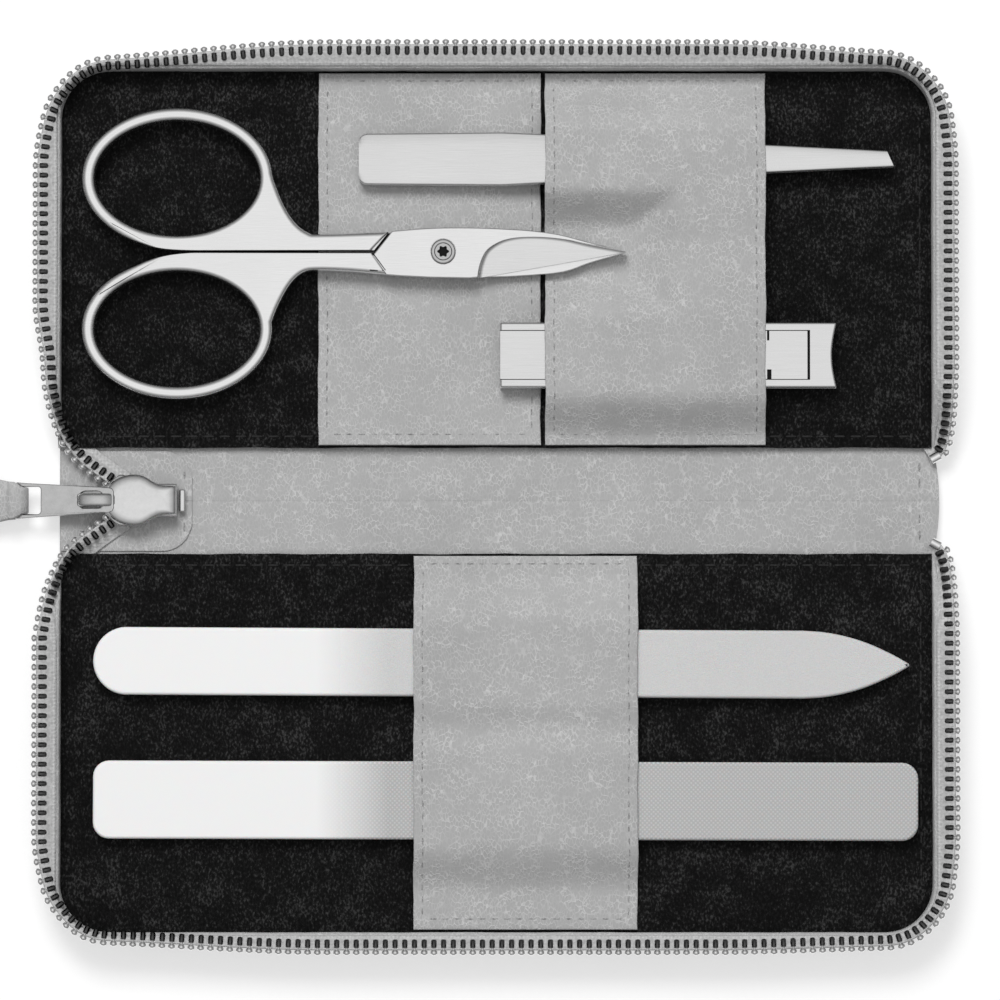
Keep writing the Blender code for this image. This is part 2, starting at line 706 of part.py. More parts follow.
def build_half(side, word):
    """Cover, board, lining, side wall, tape, teeth and stop of one half."""
    layer(word + "_cover", side, COVER_RIM, SEAT_GAP / 2, 0, COVER_THICK, LEATHER)
    layer(
        word + "_board", side, -SEAT_GAP, LINING_SETBACK + SEAT_GAP, BOARD_Z, BOARD_THICK, BOARD
    )
    layer(word + "_lining", side, 0, LINING_SETBACK, LINING_Z, LINING_THICK, SUEDE)
    add_piece(word + "_side_wall", edge_loft(word + "_side_wall", side, wall_section), LEATHER)
    add_piece(word + "_zip_tape", edge_loft(word + "_zip_tape", side, tape_section), TAPE)
    zip_chain(side, word + "_zip_teeth")
    top_stop(side, word + "_top_stop")


def build_rear_leather():
    """The flat flap under the steel tools and the strap over them."""
    outline = [
        (REAR_FLAP_LEFT, LINING_SETBACK + STRAP_INSET),
        (REAR_FLAP_RIGHT, LINING_SETBACK + STRAP_INSET),
        (REAR_FLAP_RIGHT, CASE_EDGE_D - STRAP_INSET),
        (REAR_FLAP_LEFT, CASE_EDGE_D - STRAP_INSET),
    ]
    mesh = outline_mesh("rear_flap", [mirrored_outline(outline, REAR)], FLAP_Z, FLAP_THICK)
    round_edges(add_piece("rear_flap", mesh, LEATHER), LEATHER_EDGE)
    tools = [
        (CLIPPER_Y - FOLD_Y, CLIPPER_WIDTH / 2, CLIPPER_TOP),
        (TWEEZERS_Y - FOLD_Y, TWEEZERS_WIDTH / 2, TWEEZERS_TOP),
    ]
    strap("rear_strap", REAR, REAR_STRAP_LEFT, REAR_STRAP_RIGHT, tools)


def build_front_leather():
    """The strap over the two glass files."""
    tools = [
        (-POINTED_FILE_Y - FOLD_Y, POINTED_FILE_WIDTH / 2, GLASS_Z + FILE_THICK),
        (-SQUARE_FILE_Y - FOLD_Y, SQUARE_FILE_WIDTH / 2, GLASS_Z + FILE_THICK),
    ]
    strap("front_strap", FRONT, FRONT_STRAP_LEFT, FRONT_STRAP_RIGHT, tools)


def build_spine():
    """The spine's outer leather, its inner leather, and the patch under the zip's end."""
    half_length = SPINE_LENGTH / 2
    half_width = FOLD_Y - SEAT_GAP / 2
    outline = rounded_box(-half_length, half_length, -half_width, half_width, COVER_RIM)
    cover = add_piece("spine_cover", outline_mesh("spine_cover", [outline], 0, COVER_THICK), LEATHER)
    round_edges(cover, LEATHER_EDGE)
    bottom = COVER_THICK + SEAT_GAP
    half_inner = SPINE_LINING_WIDTH / 2
    split = -half_length + PATCH_LENGTH
    lining = [
        (split + SEAT_GAP, -half_inner),
        (half_length, -half_inner),
        (half_length, half_inner),
        (split + SEAT_GAP, half_inner),
    ]
    mesh = outline_mesh("spine_lining", [lining], bottom, SPINE_LINING_THICK)
    round_edges(add_piece("spine_lining", mesh, LEATHER), LEATHER_EDGE)
    patch = [
        (-half_length, half_inner),
        (-half_length, -half_inner),
        *arc(
            (split - PATCH_CORNER, PATCH_CORNER - half_inner),
            PATCH_CORNER, -pi / 2, 0, CORNER_STEPS,
        ),
        (split, half_inner),
    ]
    mesh = outline_mesh("zip_end_patch", [patch], bottom, PATCH_THICK)
    round_edges(add_piece("zip_end_patch", mesh, LEATHER), LEATHER_EDGE)


def tail_points(side):
    """The line of a zip tail, from the end of its half across the spine into the slider."""
    start = Vector((-CASE_EDGE_X, side * (FOLD_Y - SEAT_GAP - TAIL_WIDTH), SLIDER_Z))
    end = Vector((SLIDER_LEFT, side * (SLIDER_WEDGE_RADIUS + SEAT_GAP + TAIL_WIDTH), TAIL_Z))
    bend = Vector((SLIDER_LEFT - SLIDER_LENGTH / 2, side * SLIDER_WIDTH / 2, TAIL_Z))
    points = []
    for step in range(CORNER_STEPS + 1):
        t = step / CORNER_STEPS
        points.append(start * (1 - t) ** 2 + bend * 2 * t * (1 - t) + end * t**2)
    return points


def zip_tail(side, name):
    """The last teeth of one half, which run across the spine into the slider."""
    line = tail_points(side)
    rings, lengths = [], [0.0]
    for number, point in enumerate(line):
        ahead = line[min(number + 1, len(line) - 1)] - line[max(number - 1, 0)]
        across = Vector((-ahead.y, ahead.x, 0)).normalized() * TAIL_WIDTH / 2
        up = Vector((0, 0, TAIL_HEIGHT))
        rings.append(
            [
                tuple(corner)
                for corner in (point - across, point + across, point + across + up, point - across + up)
            ]
        )
        if number:
            lengths.append(lengths[-1] + (point - line[number - 1]).length)
    tail = add_piece(name, loft_mesh(name, rings), STEEL)
    points, faces = [], []
    count = int(lengths[-1] / TOOTH_PITCH)
    for number in range(count):
        run = (number + 1 / 2) * TOOTH_PITCH
        span = max(i for i, length in enumerate(lengths[:-1]) if length <= run)
        share = (run - lengths[span]) / (lengths[span + 1] - lengths[span])
        ahead = (line[span + 1] - line[span]).normalized()
        across = Vector((ahead.y, -ahead.x, 0)).normalized() * side
        root = line[span].lerp(line[span + 1], share) + Vector((0, 0, TOOTH_DROP))
        add_tooth(points, faces, root, across * TAIL_TOOTH_SHARE, ahead, TAIL_HEIGHT - 2 * TOOTH_DROP)
    teeth = cutter(name + "_teeth", closed_mesh(name + "_teeth", points, faces))
    combine(tail, teeth, "UNION")
    return tail


def slider_outline(inset=0.0):
    """The slider's plan: broad at the mouth where the tapes enter, narrow at its neck."""
    wide, neck = SLIDER_WIDTH / 2 - inset, SLIDER_NECK_WIDTH / 2 - inset
    left, right = SLIDER_LEFT + inset, SLIDER_LEFT + SLIDER_LENGTH - inset
    length = right - left
    upper = [
        (left, neck / 2),
        (left + length * SLIDER_SHOULDER_SHARES[0], wide),
        (left + length * SLIDER_SHOULDER_SHARES[1], wide),
        (left + length * SLIDER_SHOULDER_SHARES[2], neck),
        (right, neck),
    ]
    upper = upper[:1] + through_points(upper[:4], CORNER_STEPS - 2)[1:] + upper[4:]
    return upper + [(x, -y) for x, y in reversed(upper)]


def build_slider():
    """The slider: two plates on a wedge, side flanges, the puller's bridge, and the smooth cap."""
    plate = slider_outline()
    body = add_piece(
        "slider_body", outline_mesh("slider_body", [plate], SLIDER_Z, SLIDER_PLATE), STEEL
    )
    top_z = SLIDER_TOP - SLIDER_PLATE
    top = outline_mesh("slider_top_plate", [plate], top_z, SLIDER_PLATE)
    combine(body, cutter("slider_top_plate", top), "UNION")
    wedge_x = SLIDER_LEFT + SLIDER_WEDGE_RADIUS + SEAT_GAP
    wedge = cylinder_mesh(
        "slider_wedge", SLIDER_WEDGE_RADIUS, SLIDER_Z + SLIDER_PLATE / 2,
        SLIDER_TOP - SLIDER_PLATE / 2, ROUND_STEPS // 2, (wedge_x, 0),
    )
    combine(body, cutter("slider_wedge", wedge), "UNION")
    neck = SLIDER_NECK_WIDTH / 2
    for side in (REAR, FRONT):
        low, high = sorted((side * neck, side * (neck - SLIDER_FLANGE)))
        flange = box_mesh(
            "slider_flange",
            (SLIDER_LEFT + SLIDER_LENGTH * SLIDER_SHOULDER_SHARES[2], low, SLIDER_Z + SLIDER_PLATE / 2),
            (SLIDER_LEFT + SLIDER_LENGTH - SLIDER_FLANGE / 2, high, SLIDER_TOP - SLIDER_PLATE / 2),
        )
        combine(body, cutter(f"slider_flange_{'rear' if side > 0 else 'front'}", flange), "UNION")
    foot = box_mesh(
        "slider_foot",
        (BRIDGE_X - PULLER_BAR / 2 - SEAT_GAP - BRIDGE_WIRE, -BRIDGE_WIDTH / 2, top_z),
        (SLIDER_LEFT + SLIDER_FLANGE, BRIDGE_WIDTH / 2, SLIDER_TOP),
    )
    combine(body, cutter("slider_foot", foot), "UNION")
    inner = PULLER_BAR / 2 + SEAT_GAP
    outer = inner + BRIDGE_WIRE
    arch = arc((BRIDGE_X, BRIDGE_Z), outer, 0, pi, CORNER_STEPS)
    arch += [(BRIDGE_X - outer, SLIDER_TOP - SLIDER_PLATE / 2)]
    arch += [(BRIDGE_X - inner, SLIDER_TOP - SLIDER_PLATE / 2)]
    arch += arc((BRIDGE_X, BRIDGE_Z), inner, pi, 0, CORNER_STEPS)
    arch += [(BRIDGE_X + inner, SLIDER_TOP - SLIDER_PLATE / 2)]
    arch += [(BRIDGE_X + outer, SLIDER_TOP - SLIDER_PLATE / 2)]
    bridge = profile_mesh("slider_bridge", [arch], BRIDGE_WIDTH / 2)
    combine(body, cutter("slider_bridge", bridge), "UNION")
    cap_mesh = outline_mesh(
        "slider_cap", [slider_outline(SEAT_GAP)], SLIDER_TOP + SEAT_GAP, CAP_THICK
    )
    cap = add_piece("slider_cap", cap_mesh, STEEL)
    round_edges(cap, CAP_THICK / 2, segments=2)
    smooth(cap)
    stop_left = SLIDER_LEFT + SLIDER_LENGTH + SEAT_GAP
    stop = box_mesh(
        "zip_bottom_stop",
        (stop_left, -BOTTOM_STOP_WIDTH / 2, SLIDER_Z),
        (stop_left + BOTTOM_STOP_LENGTH, BOTTOM_STOP_WIDTH / 2, SLIDER_Z + BOTTOM_STOP_HEIGHT),
    )
    round_edges(add_piece("zip_bottom_stop", stop, STEEL), LEATHER_EDGE)


def build_puller():
    """The puller, a flat bar with a slot round the bridge and a window for the tab.

    It is drawn with its bar at zero and its length along -X, then tilted down and set in the bridge.
    """
    bar = PULLER_BAR / 2
    narrow, wide = PULLER_NARROW / 2, PULLER_WIDE / 2
    tip = PULLER_LENGTH
    upper = [(bar, narrow), (-PULLER_SLOT_LENGTH, narrow)]
    upper += [(PULLER_RIM / 2 - tip, wide), (-tip, wide - PULLER_RIM / 2)]
    outline = upper + [(x, -y) for x, y in reversed(upper)]
    slot_half = PULLER_SLOT_WIDTH / 2
    slot = [(-bar, slot_half)]
    slot += arc((slot_half - PULLER_SLOT_LENGTH - bar, 0), slot_half, pi / 2, 3 * pi / 2, CORNER_STEPS)
    slot += [(-bar, -slot_half)]
    window_half = PULLER_WINDOW_WIDTH / 2
    window_left = PULLER_EYE_RIM - tip
    window_right = window_left + PULLER_WINDOW_LENGTH
    window = rounded_box(window_left, window_right, -window_half, window_half, PULLER_RIM / 4, 2)
    mesh = outline_mesh("zip_puller", [outline, slot, window], -PULLER_THICK / 2, PULLER_THICK)
    place = Matrix.Translation((BRIDGE_X, 0, BRIDGE_Z)) @ Matrix.Rotation(-PULLER_DROOP, 4, "Y")
    mesh.transform(place)
    puller = add_piece("zip_puller", mesh, STEEL)
    round_edges(puller, LEATHER_EDGE)


def build_tab():
    """The leather tab, with an eye that loops round the bar at the puller's end."""
    eye = tab_eye_mesh()
    tab = add_piece("pull_tab", eye, LEATHER)
    start = EYE_X - TAB_EYE - TAB_WALL / 2
    half_neck, half_wide = TAB_NECK / 2, TAB_WIDE / 2
    end = start - TAB_LENGTH
    upper = [(start, half_neck), (start - TAB_NECK_LENGTH, half_wide)]
    upper += arc((end + TAB_TIP_RADIUS, half_wide - TAB_TIP_RADIUS), TAB_TIP_RADIUS, pi / 2, pi, CORNER_STEPS)
    outline = upper + [(x, -y) for x, y in reversed(upper)]
    blade = outline_mesh("tab_blade", [outline], EYE_Z - TAB_THICK / 2, TAB_THICK)
    combine(tab, cutter("tab_blade", blade), "UNION")
    round_edges(tab, LEATHER_EDGE, radians(50))


def tab_eye_mesh():
    """The tab's eye: a short tube of leather round the puller's end bar."""
    outer = TAB_EYE + TAB_WALL
    loops = [
        oval((EYE_X, EYE_Z), (outer, outer), ROUND_STEPS // 2),
        oval((EYE_X, EYE_Z), (TAB_EYE, TAB_EYE), ROUND_STEPS // 2),
    ]
    return profile_mesh("pull_tab", loops, TAB_NECK / 2)


def from_pivot(shares, reach, height):
    """Points given as shares of a reach along X and a height along Y, laid out from the scissors' pivot."""
    return [(PIVOT_X + x * reach, PIVOT_Y + y * height) for x, y in shares]


def scissor_leaf(name, side, blade_shares, shank_shares, ring_offset, blade_z, cuts):
    """One scissor leaf: a finger ring, its shank, and a blade at its own level."""
    reach = PIVOT_X - RING_CENTRE_X
    centre = (RING_CENTRE_X, PIVOT_Y + side * ring_offset)
    outer = (RING_HOLE_LONG + RING_BAND, RING_HOLE_SHORT + RING_BAND)
    ring = outline_mesh(name, [oval(centre, outer)], RING_Z, RING_THICK)
    leaf = add_piece(name, ring, STEEL)
    shank = from_pivot(shank_shares, reach, side * ring_offset)
    combine(
        leaf, cutter(name + "_shank", outline_mesh(name + "_shank", [shank], RING_Z, RING_THICK)), "UNION"
    )
    hole = outline_mesh(
        name + "_hole", [oval(centre, (RING_HOLE_LONG, RING_HOLE_SHORT))],
        RING_Z - CUT_OVERRUN, RING_THICK + 2 * CUT_OVERRUN,
    )
    combine(leaf, cutter(name + "_hole", hole), "DIFFERENCE")
    round_edges(leaf, RING_EDGE)
    blade = from_pivot(blade_shares, BLADE_TIP_REACH, HUB_HALF_WIDTH)
    combine(
        leaf, cutter(name + "_blade", outline_mesh(name + "_blade", [blade], blade_z, BLADE_THICK)), "UNION"
    )
    for number, (radius, low, high) in enumerate(cuts):
        bore = cylinder_mesh(f"{name}_bore_{number}", radius, low, high, ROUND_STEPS, (PIVOT_X, PIVOT_Y))
        combine(leaf, cutter(f"{name}_bore_{number}", bore), "DIFFERENCE")
    smooth(leaf)
    return leaf


def build_scissors():
    """Two leaves crossed at a screw: the upper ring carries the under blade."""
    bore = SCREW_SHANK_RADIUS + SCREW_CLEARANCE
    head_bore = SCREW_HEAD_RADIUS + SCREW_CLEARANCE
    blade_top = TOP_BLADE_Z + BLADE_THICK
    scissor_leaf(
        "scissor_under_leaf", REAR, UNDER_BLADE_SHARES, UNDER_SHANK_SHARES, RING_OFFSET_UPPER,
        SCISSOR_Z, [(bore, SCISSOR_Z - CUT_OVERRUN, SCISSOR_Z + BLADE_THICK + SEAT_GAP)],
    )
    scissor_leaf(
        "scissor_top_leaf", FRONT, TOP_BLADE_SHARES, TOP_SHANK_SHARES, RING_OFFSET_LOWER,
        TOP_BLADE_Z,
        [
            (bore, TOP_BLADE_Z - SEAT_GAP / 2, blade_top + CUT_OVERRUN),
            (head_bore, blade_top - SCREW_HEAD_HEIGHT - SCREW_CLEARANCE, blade_top + CUT_OVERRUN),
        ],
    )
    head_top = blade_top + SCREW_PROUD
    head_bottom = head_top - SCREW_HEAD_HEIGHT
    screw = add_piece(
        "pivot_screw",
        cylinder_mesh(
            "pivot_screw", SCREW_HEAD_RADIUS, head_bottom, head_top, ROUND_STEPS, (PIVOT_X, PIVOT_Y)
        ),
        STEEL,
    )
    round_edges(screw, SCREW_PROUD)
    shank = cylinder_mesh(
        "screw_shank", SCREW_SHANK_RADIUS, SCISSOR_Z, head_bottom + SCREW_PROUD,
        ROUND_STEPS // 2, (PIVOT_X, PIVOT_Y),
    )
    combine(screw, cutter("screw_shank", shank), "UNION")
    socket = [
        (
            PIVOT_X + SCREW_SOCKET_RADIUS * (1 + SCREW_LOBE_SHARE * cos(6 * a)) * cos(a),
            PIVOT_Y + SCREW_SOCKET_RADIUS * (1 + SCREW_LOBE_SHARE * cos(6 * a)) * sin(a),
        )
        for a in (2 * pi * step / ROUND_STEPS for step in range(ROUND_STEPS))
    ]
    cut = outline_mesh(
        "screw_socket", [socket], head_top - SCREW_SOCKET_DEPTH, SCREW_SOCKET_DEPTH + CUT_OVERRUN
    )
    combine(screw, cutter("screw_socket", cut), "DIFFERENCE")
    smooth(screw)


def tweezers_half_width(x):
    """Half the tweezers' width at a distance from their left end: a round end, then a long taper."""
    wide, tip = TWEEZERS_WIDTH / 2, TWEEZERS_TIP_WIDTH / 2
    end = TWEEZERS_END_RADIUS
    if x < end:
        return wide * TWEEZERS_END_SHARE - end + (end * end - (end - x) ** 2) ** 0.5
    share = x / TWEEZERS_LENGTH
    if share < TWEEZERS_FULL_SHARE:
        return blend(wide * TWEEZERS_END_SHARE, wide, share / TWEEZERS_FULL_SHARE)
    taper = (share - TWEEZERS_FULL_SHARE) / (1 - TWEEZERS_FULL_SHARE)
    return blend(wide, tip, taper)


def tweezers_arm(name, lift):
    """One tweezer arm, as thick as a spring leaf, whose lower face lies at lift(share of its length)."""
    rings = []
    edge = LEATHER_EDGE
    marks = [TWEEZERS_END_RADIUS * share for share in TWEEZERS_END_STEP_SHARES]
    marks += [blend(TWEEZERS_END_RADIUS, TWEEZERS_LENGTH, step / RING_TWEEZER_STEPS)
              for step in range(RING_TWEEZER_STEPS + 1)]
    for x in marks:
        share = x / TWEEZERS_LENGTH
        half = tweezers_half_width(x)
        low = lift(share)
        high = low + TWEEZERS_ARM_THICK
        slant = TWEEZERS_SLANT * ease((share - TWEEZERS_SLANT_SHARE) / (1 - TWEEZERS_SLANT_SHARE))
        section = [
            (-half + edge, low), (half - edge, low), (half, low + edge), (half, high - edge),
            (half - edge, high), (-half + edge, high), (-half, high - edge), (-half, low + edge),
        ]
        rings.append(
            [(TWEEZERS_LEFT + x - slant * y / half, TWEEZERS_Y + y, z) for y, z in section]
        )
    arm = add_piece(name, loft_mesh(name, rings), STEEL)
    smooth(arm)
    return arm


def upper_arm_lift(share):
    """The upper arm lies on the lower one at the welded end, bows away, and comes back at the tip."""
    rest = STEEL_Z + TWEEZERS_ARM_THICK + SEAT_GAP
    weld = TWEEZERS_WELD / TWEEZERS_LENGTH
    along = (share - weld) / (1 - weld)
    if along <= 0:
        return rest
    bowed = ease(along / TWEEZERS_BOW_SHARE) * TWEEZERS_BOW
    back = ease((along - TWEEZERS_BOW_SHARE) / (1 - TWEEZERS_BOW_SHARE))
    return rest + bowed - back * (TWEEZERS_BOW - TWEEZERS_TIP_GAP + SEAT_GAP)


def build_tweezers():
    """A flat under arm and a bowed upper arm, welded together at their wide end."""
    tweezers_arm("tweezers_lower_arm", lambda share: STEEL_Z)
    tweezers_arm("tweezers_upper_arm", upper_arm_lift)


def clipper_outline():
    """The clipper's plan: straight sides and a hollow cutting end."""
    left, right = CLIPPER_LEFT, CLIPPER_LEFT + CLIPPER_LENGTH
    low, high = CLIPPER_Y - CLIPPER_WIDTH / 2, CLIPPER_Y + CLIPPER_WIDTH / 2
    hollow = [
        (right - CLIPPER_JAW_HOLLOW * sin(pi * step / CORNER_STEPS), blend(low, high, step / CORNER_STEPS))
        for step in range(CORNER_STEPS + 1)
    ]
    return [(left, high), (left, low)] + hollow


def build_clipper():
    """Base plate with its spacer and pin, and the channelled upper jaw with the lever lying in it."""
    outline = clipper_outline()
    base = add_piece(
        "clipper_base", outline_mesh("clipper_base", [outline], STEEL_Z, CLIPPER_PLATE), STEEL
    )
    half = CLIPPER_WIDTH / 2 - CLIPPER_RAIL
    spacer = box_mesh(
        "clipper_spacer",
        (CLIPPER_LEFT + CLIPPER_SIDE_GAP, CLIPPER_Y - half, STEEL_Z + CLIPPER_PLATE / 2),
        (CLIPPER_LEFT + CLIPPER_BLOCK, CLIPPER_Y + half, CLIPPER_WEB_Z - SEAT_GAP),
    )
    combine(base, cutter("clipper_spacer", spacer), "UNION")
    pin_bore = cylinder_mesh(
        "clipper_pin_bore", CLIPPER_PIN_RADIUS + CLIPPER_SIDE_GAP, STEEL_Z - CUT_OVERRUN,
        CLIPPER_TOP + CUT_OVERRUN, ROUND_STEPS // 2, (CLIPPER_PIN_X, CLIPPER_Y),
    )
    bore = cutter("clipper_pin_bore", pin_bore)
    combine(base, bore, "DIFFERENCE")
    frame = add_piece(
        "clipper_frame", outline_mesh("clipper_frame", [outline], CLIPPER_WEB_Z, CLIPPER_RAIL_HEIGHT), STEEL
    )
    pocket = box_mesh(
        "clipper_pocket",
        (CLIPPER_LEFT - CUT_OVERRUN, CLIPPER_Y - half, CLIPPER_WEB_Z + CLIPPER_PLATE),
        (
            CLIPPER_LEFT + CLIPPER_LEVER_LENGTH + CLIPPER_SLOT,
            CLIPPER_Y + half,
            CLIPPER_TOP + CUT_OVERRUN,
        ),
    )
    combine(frame, cutter("clipper_pocket", pocket), "DIFFERENCE")
    combine(frame, bore, "DIFFERENCE")
    lever_half = half - CLIPPER_SIDE_GAP
    lever_left, lever_right = CLIPPER_LEFT, CLIPPER_LEFT + CLIPPER_LEVER_LENGTH
    lever_z = CLIPPER_WEB_Z + CLIPPER_PLATE + SEAT_GAP
    lever = add_piece(
        "clipper_lever",
        box_mesh(
            "clipper_lever",
            (lever_left, CLIPPER_Y - lever_half, lever_z),
            (lever_right, CLIPPER_Y + lever_half, CLIPPER_TOP),
        ),
        STEEL,
    )
    for side in (REAR, FRONT):
        edge_y = CLIPPER_Y + side * lever_half
        low, high = sorted((edge_y + side * CUT_OVERRUN, edge_y - side * CLIPPER_NOTCH_DEPTH))
        notch = box_mesh(
            "clipper_notch",
            (CLIPPER_NOTCH_X, low, lever_z - CUT_OVERRUN),
            (CLIPPER_NOTCH_X + CLIPPER_NOTCH_WIDTH, high, CLIPPER_TOP + CUT_OVERRUN),
        )
        combine(lever, cutter(f"clipper_notch_{'rear' if side > 0 else 'front'}", notch), "DIFFERENCE")
    combine(lever, bore, "DIFFERENCE")
    pin = cylinder_mesh(
        "clipper_pin", CLIPPER_PIN_RADIUS, STEEL_Z, CLIPPER_TOP, ROUND_STEPS // 2, (CLIPPER_PIN_X, CLIPPER_Y)
    )
    smooth(add_piece("clipper_pin", pin, STEEL))


def turned(points, centre, angle):
    """Points turned about a centre."""
    turn = Matrix.Rotation(angle, 2)
    return [tuple(turn @ (Vector(point) - Vector(centre)) + Vector(centre)) for point in points]


def build_files():
    """The pointed and the square glass file."""
    half = POINTED_FILE_WIDTH / 2
    left, right = FILES_LEFT, FILES_LEFT + POINTED_FILE_LENGTH
    shoulder = right - POINTED_FILE_POINT
    bow = [
        (shoulder + POINTED_FILE_POINT * along, half * deep)
        for along, deep in POINTED_FILE_BOW_SHARES
    ]
    outline = bow + arc((left + half, 0), half, pi / 2, 3 * pi / 2, ROUND_STEPS // 2)
    outline += [(x, -y) for x, y in reversed(bow[1:])]
    outline = [(x, y + POINTED_FILE_Y) for x, y in outline]
    outline = turned(outline, (0, POINTED_FILE_Y), POINTED_FILE_TURN)
    pointed = add_piece(
        "pointed_glass_file", outline_mesh("pointed_glass_file", [outline], GLASS_Z, FILE_THICK), GLASS
    )
    round_edges(pointed, FILE_EDGE)
    low, high = SQUARE_FILE_Y - SQUARE_FILE_WIDTH / 2, SQUARE_FILE_Y + SQUARE_FILE_WIDTH / 2
    outline = rounded_box(
        FILES_LEFT, FILES_LEFT + SQUARE_FILE_LENGTH, low, high, SQUARE_FILE_CORNER
    )
    outline = turned(outline, (0, SQUARE_FILE_Y), SQUARE_FILE_TURN)
    square = add_piece(
        "square_glass_file", outline_mesh("square_glass_file", [outline], GLASS_Z, FILE_THICK), GLASS
    )
    round_edges(square, FILE_EDGE)


def carry(name, place, pieces):
    """Give pieces that move together a parent empty on their joint's axis."""
    axis = bpy.data.objects.new(name, None)
    axis.empty_display_size = TAPE_HIGH
    axis.location = place
    PARTS.objects.link(axis)
    bpy.context.view_layer.update()
    for piece in pieces:
        item = bpy.data.objects[piece]
        item.parent = axis
        item.matrix_parent_inverse = axis.matrix_world.inverted()
    return axis


def build_joints():
    """Empties on the joint axes, each with the pieces that turn or slide on it."""
    for side, word in ((REAR, "rear"), (FRONT, "front")):
        names = [
            item.name for item in PARTS.objects
            if item.name.startswith(word + "_") and item.type == "MESH" and "tail" not in item.name
        ]
        carry(word + "_half", (0, side * FOLD_Y, FOLD_Z), names)
    slider = carry("zip_slider", (SLIDER_LEFT, 0, SLIDER_Z), ["slider_body", "slider_cap"])
    puller = carry("puller_hinge", (BRIDGE_X, 0, BRIDGE_Z), ["zip_puller"])
    tab = carry("tab_hinge", (EYE_X, 0, EYE_Z), ["pull_tab"])
    pivot = (PIVOT_X, PIVOT_Y, SCISSOR_Z)
    carry("scissors", pivot, ["scissor_under_leaf", "pivot_screw"])
    carry("scissors_pivot", pivot, ["scissor_top_leaf"])
    tweezers_place = (TWEEZERS_LEFT + TWEEZERS_WELD, TWEEZERS_Y, STEEL_Z + TWEEZERS_ARM_THICK)
    carry("tweezers", tweezers_place, ["tweezers_lower_arm"])
    carry("tweezers_spring", tweezers_place, ["tweezers_upper_arm"])
    clipper_place = (CLIPPER_LEFT + CLIPPER_BLOCK, CLIPPER_Y, CLIPPER_WEB_Z)
    carry("clipper", clipper_place, ["clipper_base", "clipper_pin"])
    carry("clipper_jaw", clipper_place, ["clipper_frame", "clipper_lever"])
    carry("pointed_file", (FILES_LEFT, POINTED_FILE_Y, GLASS_Z), ["pointed_glass_file"])
    carry("square_file", (FILES_LEFT, SQUARE_FILE_Y, GLASS_Z), ["square_glass_file"])
    for child, parent in ((puller, slider), (tab, puller)):
        child.parent = parent
        child.matrix_parent_inverse = parent.matrix_world.inverted()


clear_scene()
PARTS = new_collection("manicure_case")
CUTTERS = new_collection("manicure_case_cutters", hidden=True)
GUIDES = new_collection("manicure_case_guides", hidden=True)
LEATHER = finish("leather", (0.42, 0.42, 0.42), 0.5)
SUEDE = finish("suede_lining", (0.008, 0.008, 0.008), 0.95)
BOARD = finish("board", (0.35, 0.31, 0.26), 0.9)
TAPE = finish("zip_tape", (0.36, 0.36, 0.36), 0.9)
STEEL = finish("satin_steel", (0.62, 0.62, 0.63), 0.3, 1.0)
GLASS = finish("frosted_glass", (0.78, 0.80, 0.80), 0.35)

build_half(REAR, "rear")
build_half(FRONT, "front")
build_rear_leather()
build_front_leather()
build_spine()
zip_tail(REAR, "rear_zip_tail")
zip_tail(FRONT, "front_zip_tail")
build_slider()
build_puller()
build_tab()
build_scissors()
build_tweezers()
build_clipper()
build_files()
build_joints()
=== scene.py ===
"""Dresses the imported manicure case: leather, suede, zip, steel tools and glass files, in a white studio."""

from __future__ import annotations

import logging
import math
from collections.abc import Callable, Sequence
from dataclasses import dataclass, field
from enum import Enum

import bmesh
import bpy
from mathutils import Matrix, Vector


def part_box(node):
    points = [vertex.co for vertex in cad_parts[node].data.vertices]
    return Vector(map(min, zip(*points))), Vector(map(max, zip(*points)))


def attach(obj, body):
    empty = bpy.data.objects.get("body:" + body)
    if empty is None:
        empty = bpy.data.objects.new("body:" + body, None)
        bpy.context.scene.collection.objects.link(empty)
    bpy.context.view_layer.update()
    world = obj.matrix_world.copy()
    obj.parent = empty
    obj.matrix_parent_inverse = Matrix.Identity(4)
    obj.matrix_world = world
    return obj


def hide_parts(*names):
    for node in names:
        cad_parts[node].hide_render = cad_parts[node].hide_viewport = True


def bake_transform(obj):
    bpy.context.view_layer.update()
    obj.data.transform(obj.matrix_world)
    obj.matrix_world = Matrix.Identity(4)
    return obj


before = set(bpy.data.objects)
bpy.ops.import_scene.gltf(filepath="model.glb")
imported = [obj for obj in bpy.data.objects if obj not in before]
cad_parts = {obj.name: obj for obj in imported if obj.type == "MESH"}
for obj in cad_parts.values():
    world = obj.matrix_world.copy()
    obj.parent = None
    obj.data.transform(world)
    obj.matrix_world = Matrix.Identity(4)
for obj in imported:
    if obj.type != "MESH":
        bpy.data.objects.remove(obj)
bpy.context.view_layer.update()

LOG = logging.getLogger("manicure_case")
Point2 = tuple[float, float]
Point3 = tuple[float, float, float]
Plan = Sequence[Point2]
Pairs = tuple[Point2, ...]
Triples = tuple[Point3, ...]
Rings = list[list[Vector]]
Piece = bpy.types.Object
Material = bpy.types.Material
Socket = bpy.types.NodeSocket
MM = 0.001
WAVES = ((1.0, 310, 1.7), (0.6, 823, 3.1), (0.3, 1970, 5.3))
WAVE_SPAN = 1.9
SLOPE_STEP = 0.05 * MM
SWEEP_STEP, ROUTE_STEP, TAPE_STEP = 1.1 * MM, 1.0 * MM, 0.8 * MM
SAME_POINT = 0.0005 * MM
SHORT_EDGE = 0.03 * MM
CLOSE = 0.01 * MM
FLAT_ANGLE = math.radians(0.5)
SHARP_ANGLE = math.radians(32.0)


class Side(Enum):
    """Which half of the open case a piece belongs to. The value is the sign of its Y."""

    REAR = 1
    FRONT = -1

    @property
    def word(self) -> str:
        """The half's name as the node names write it."""
        return "rear" if self is Side.REAR else "front"


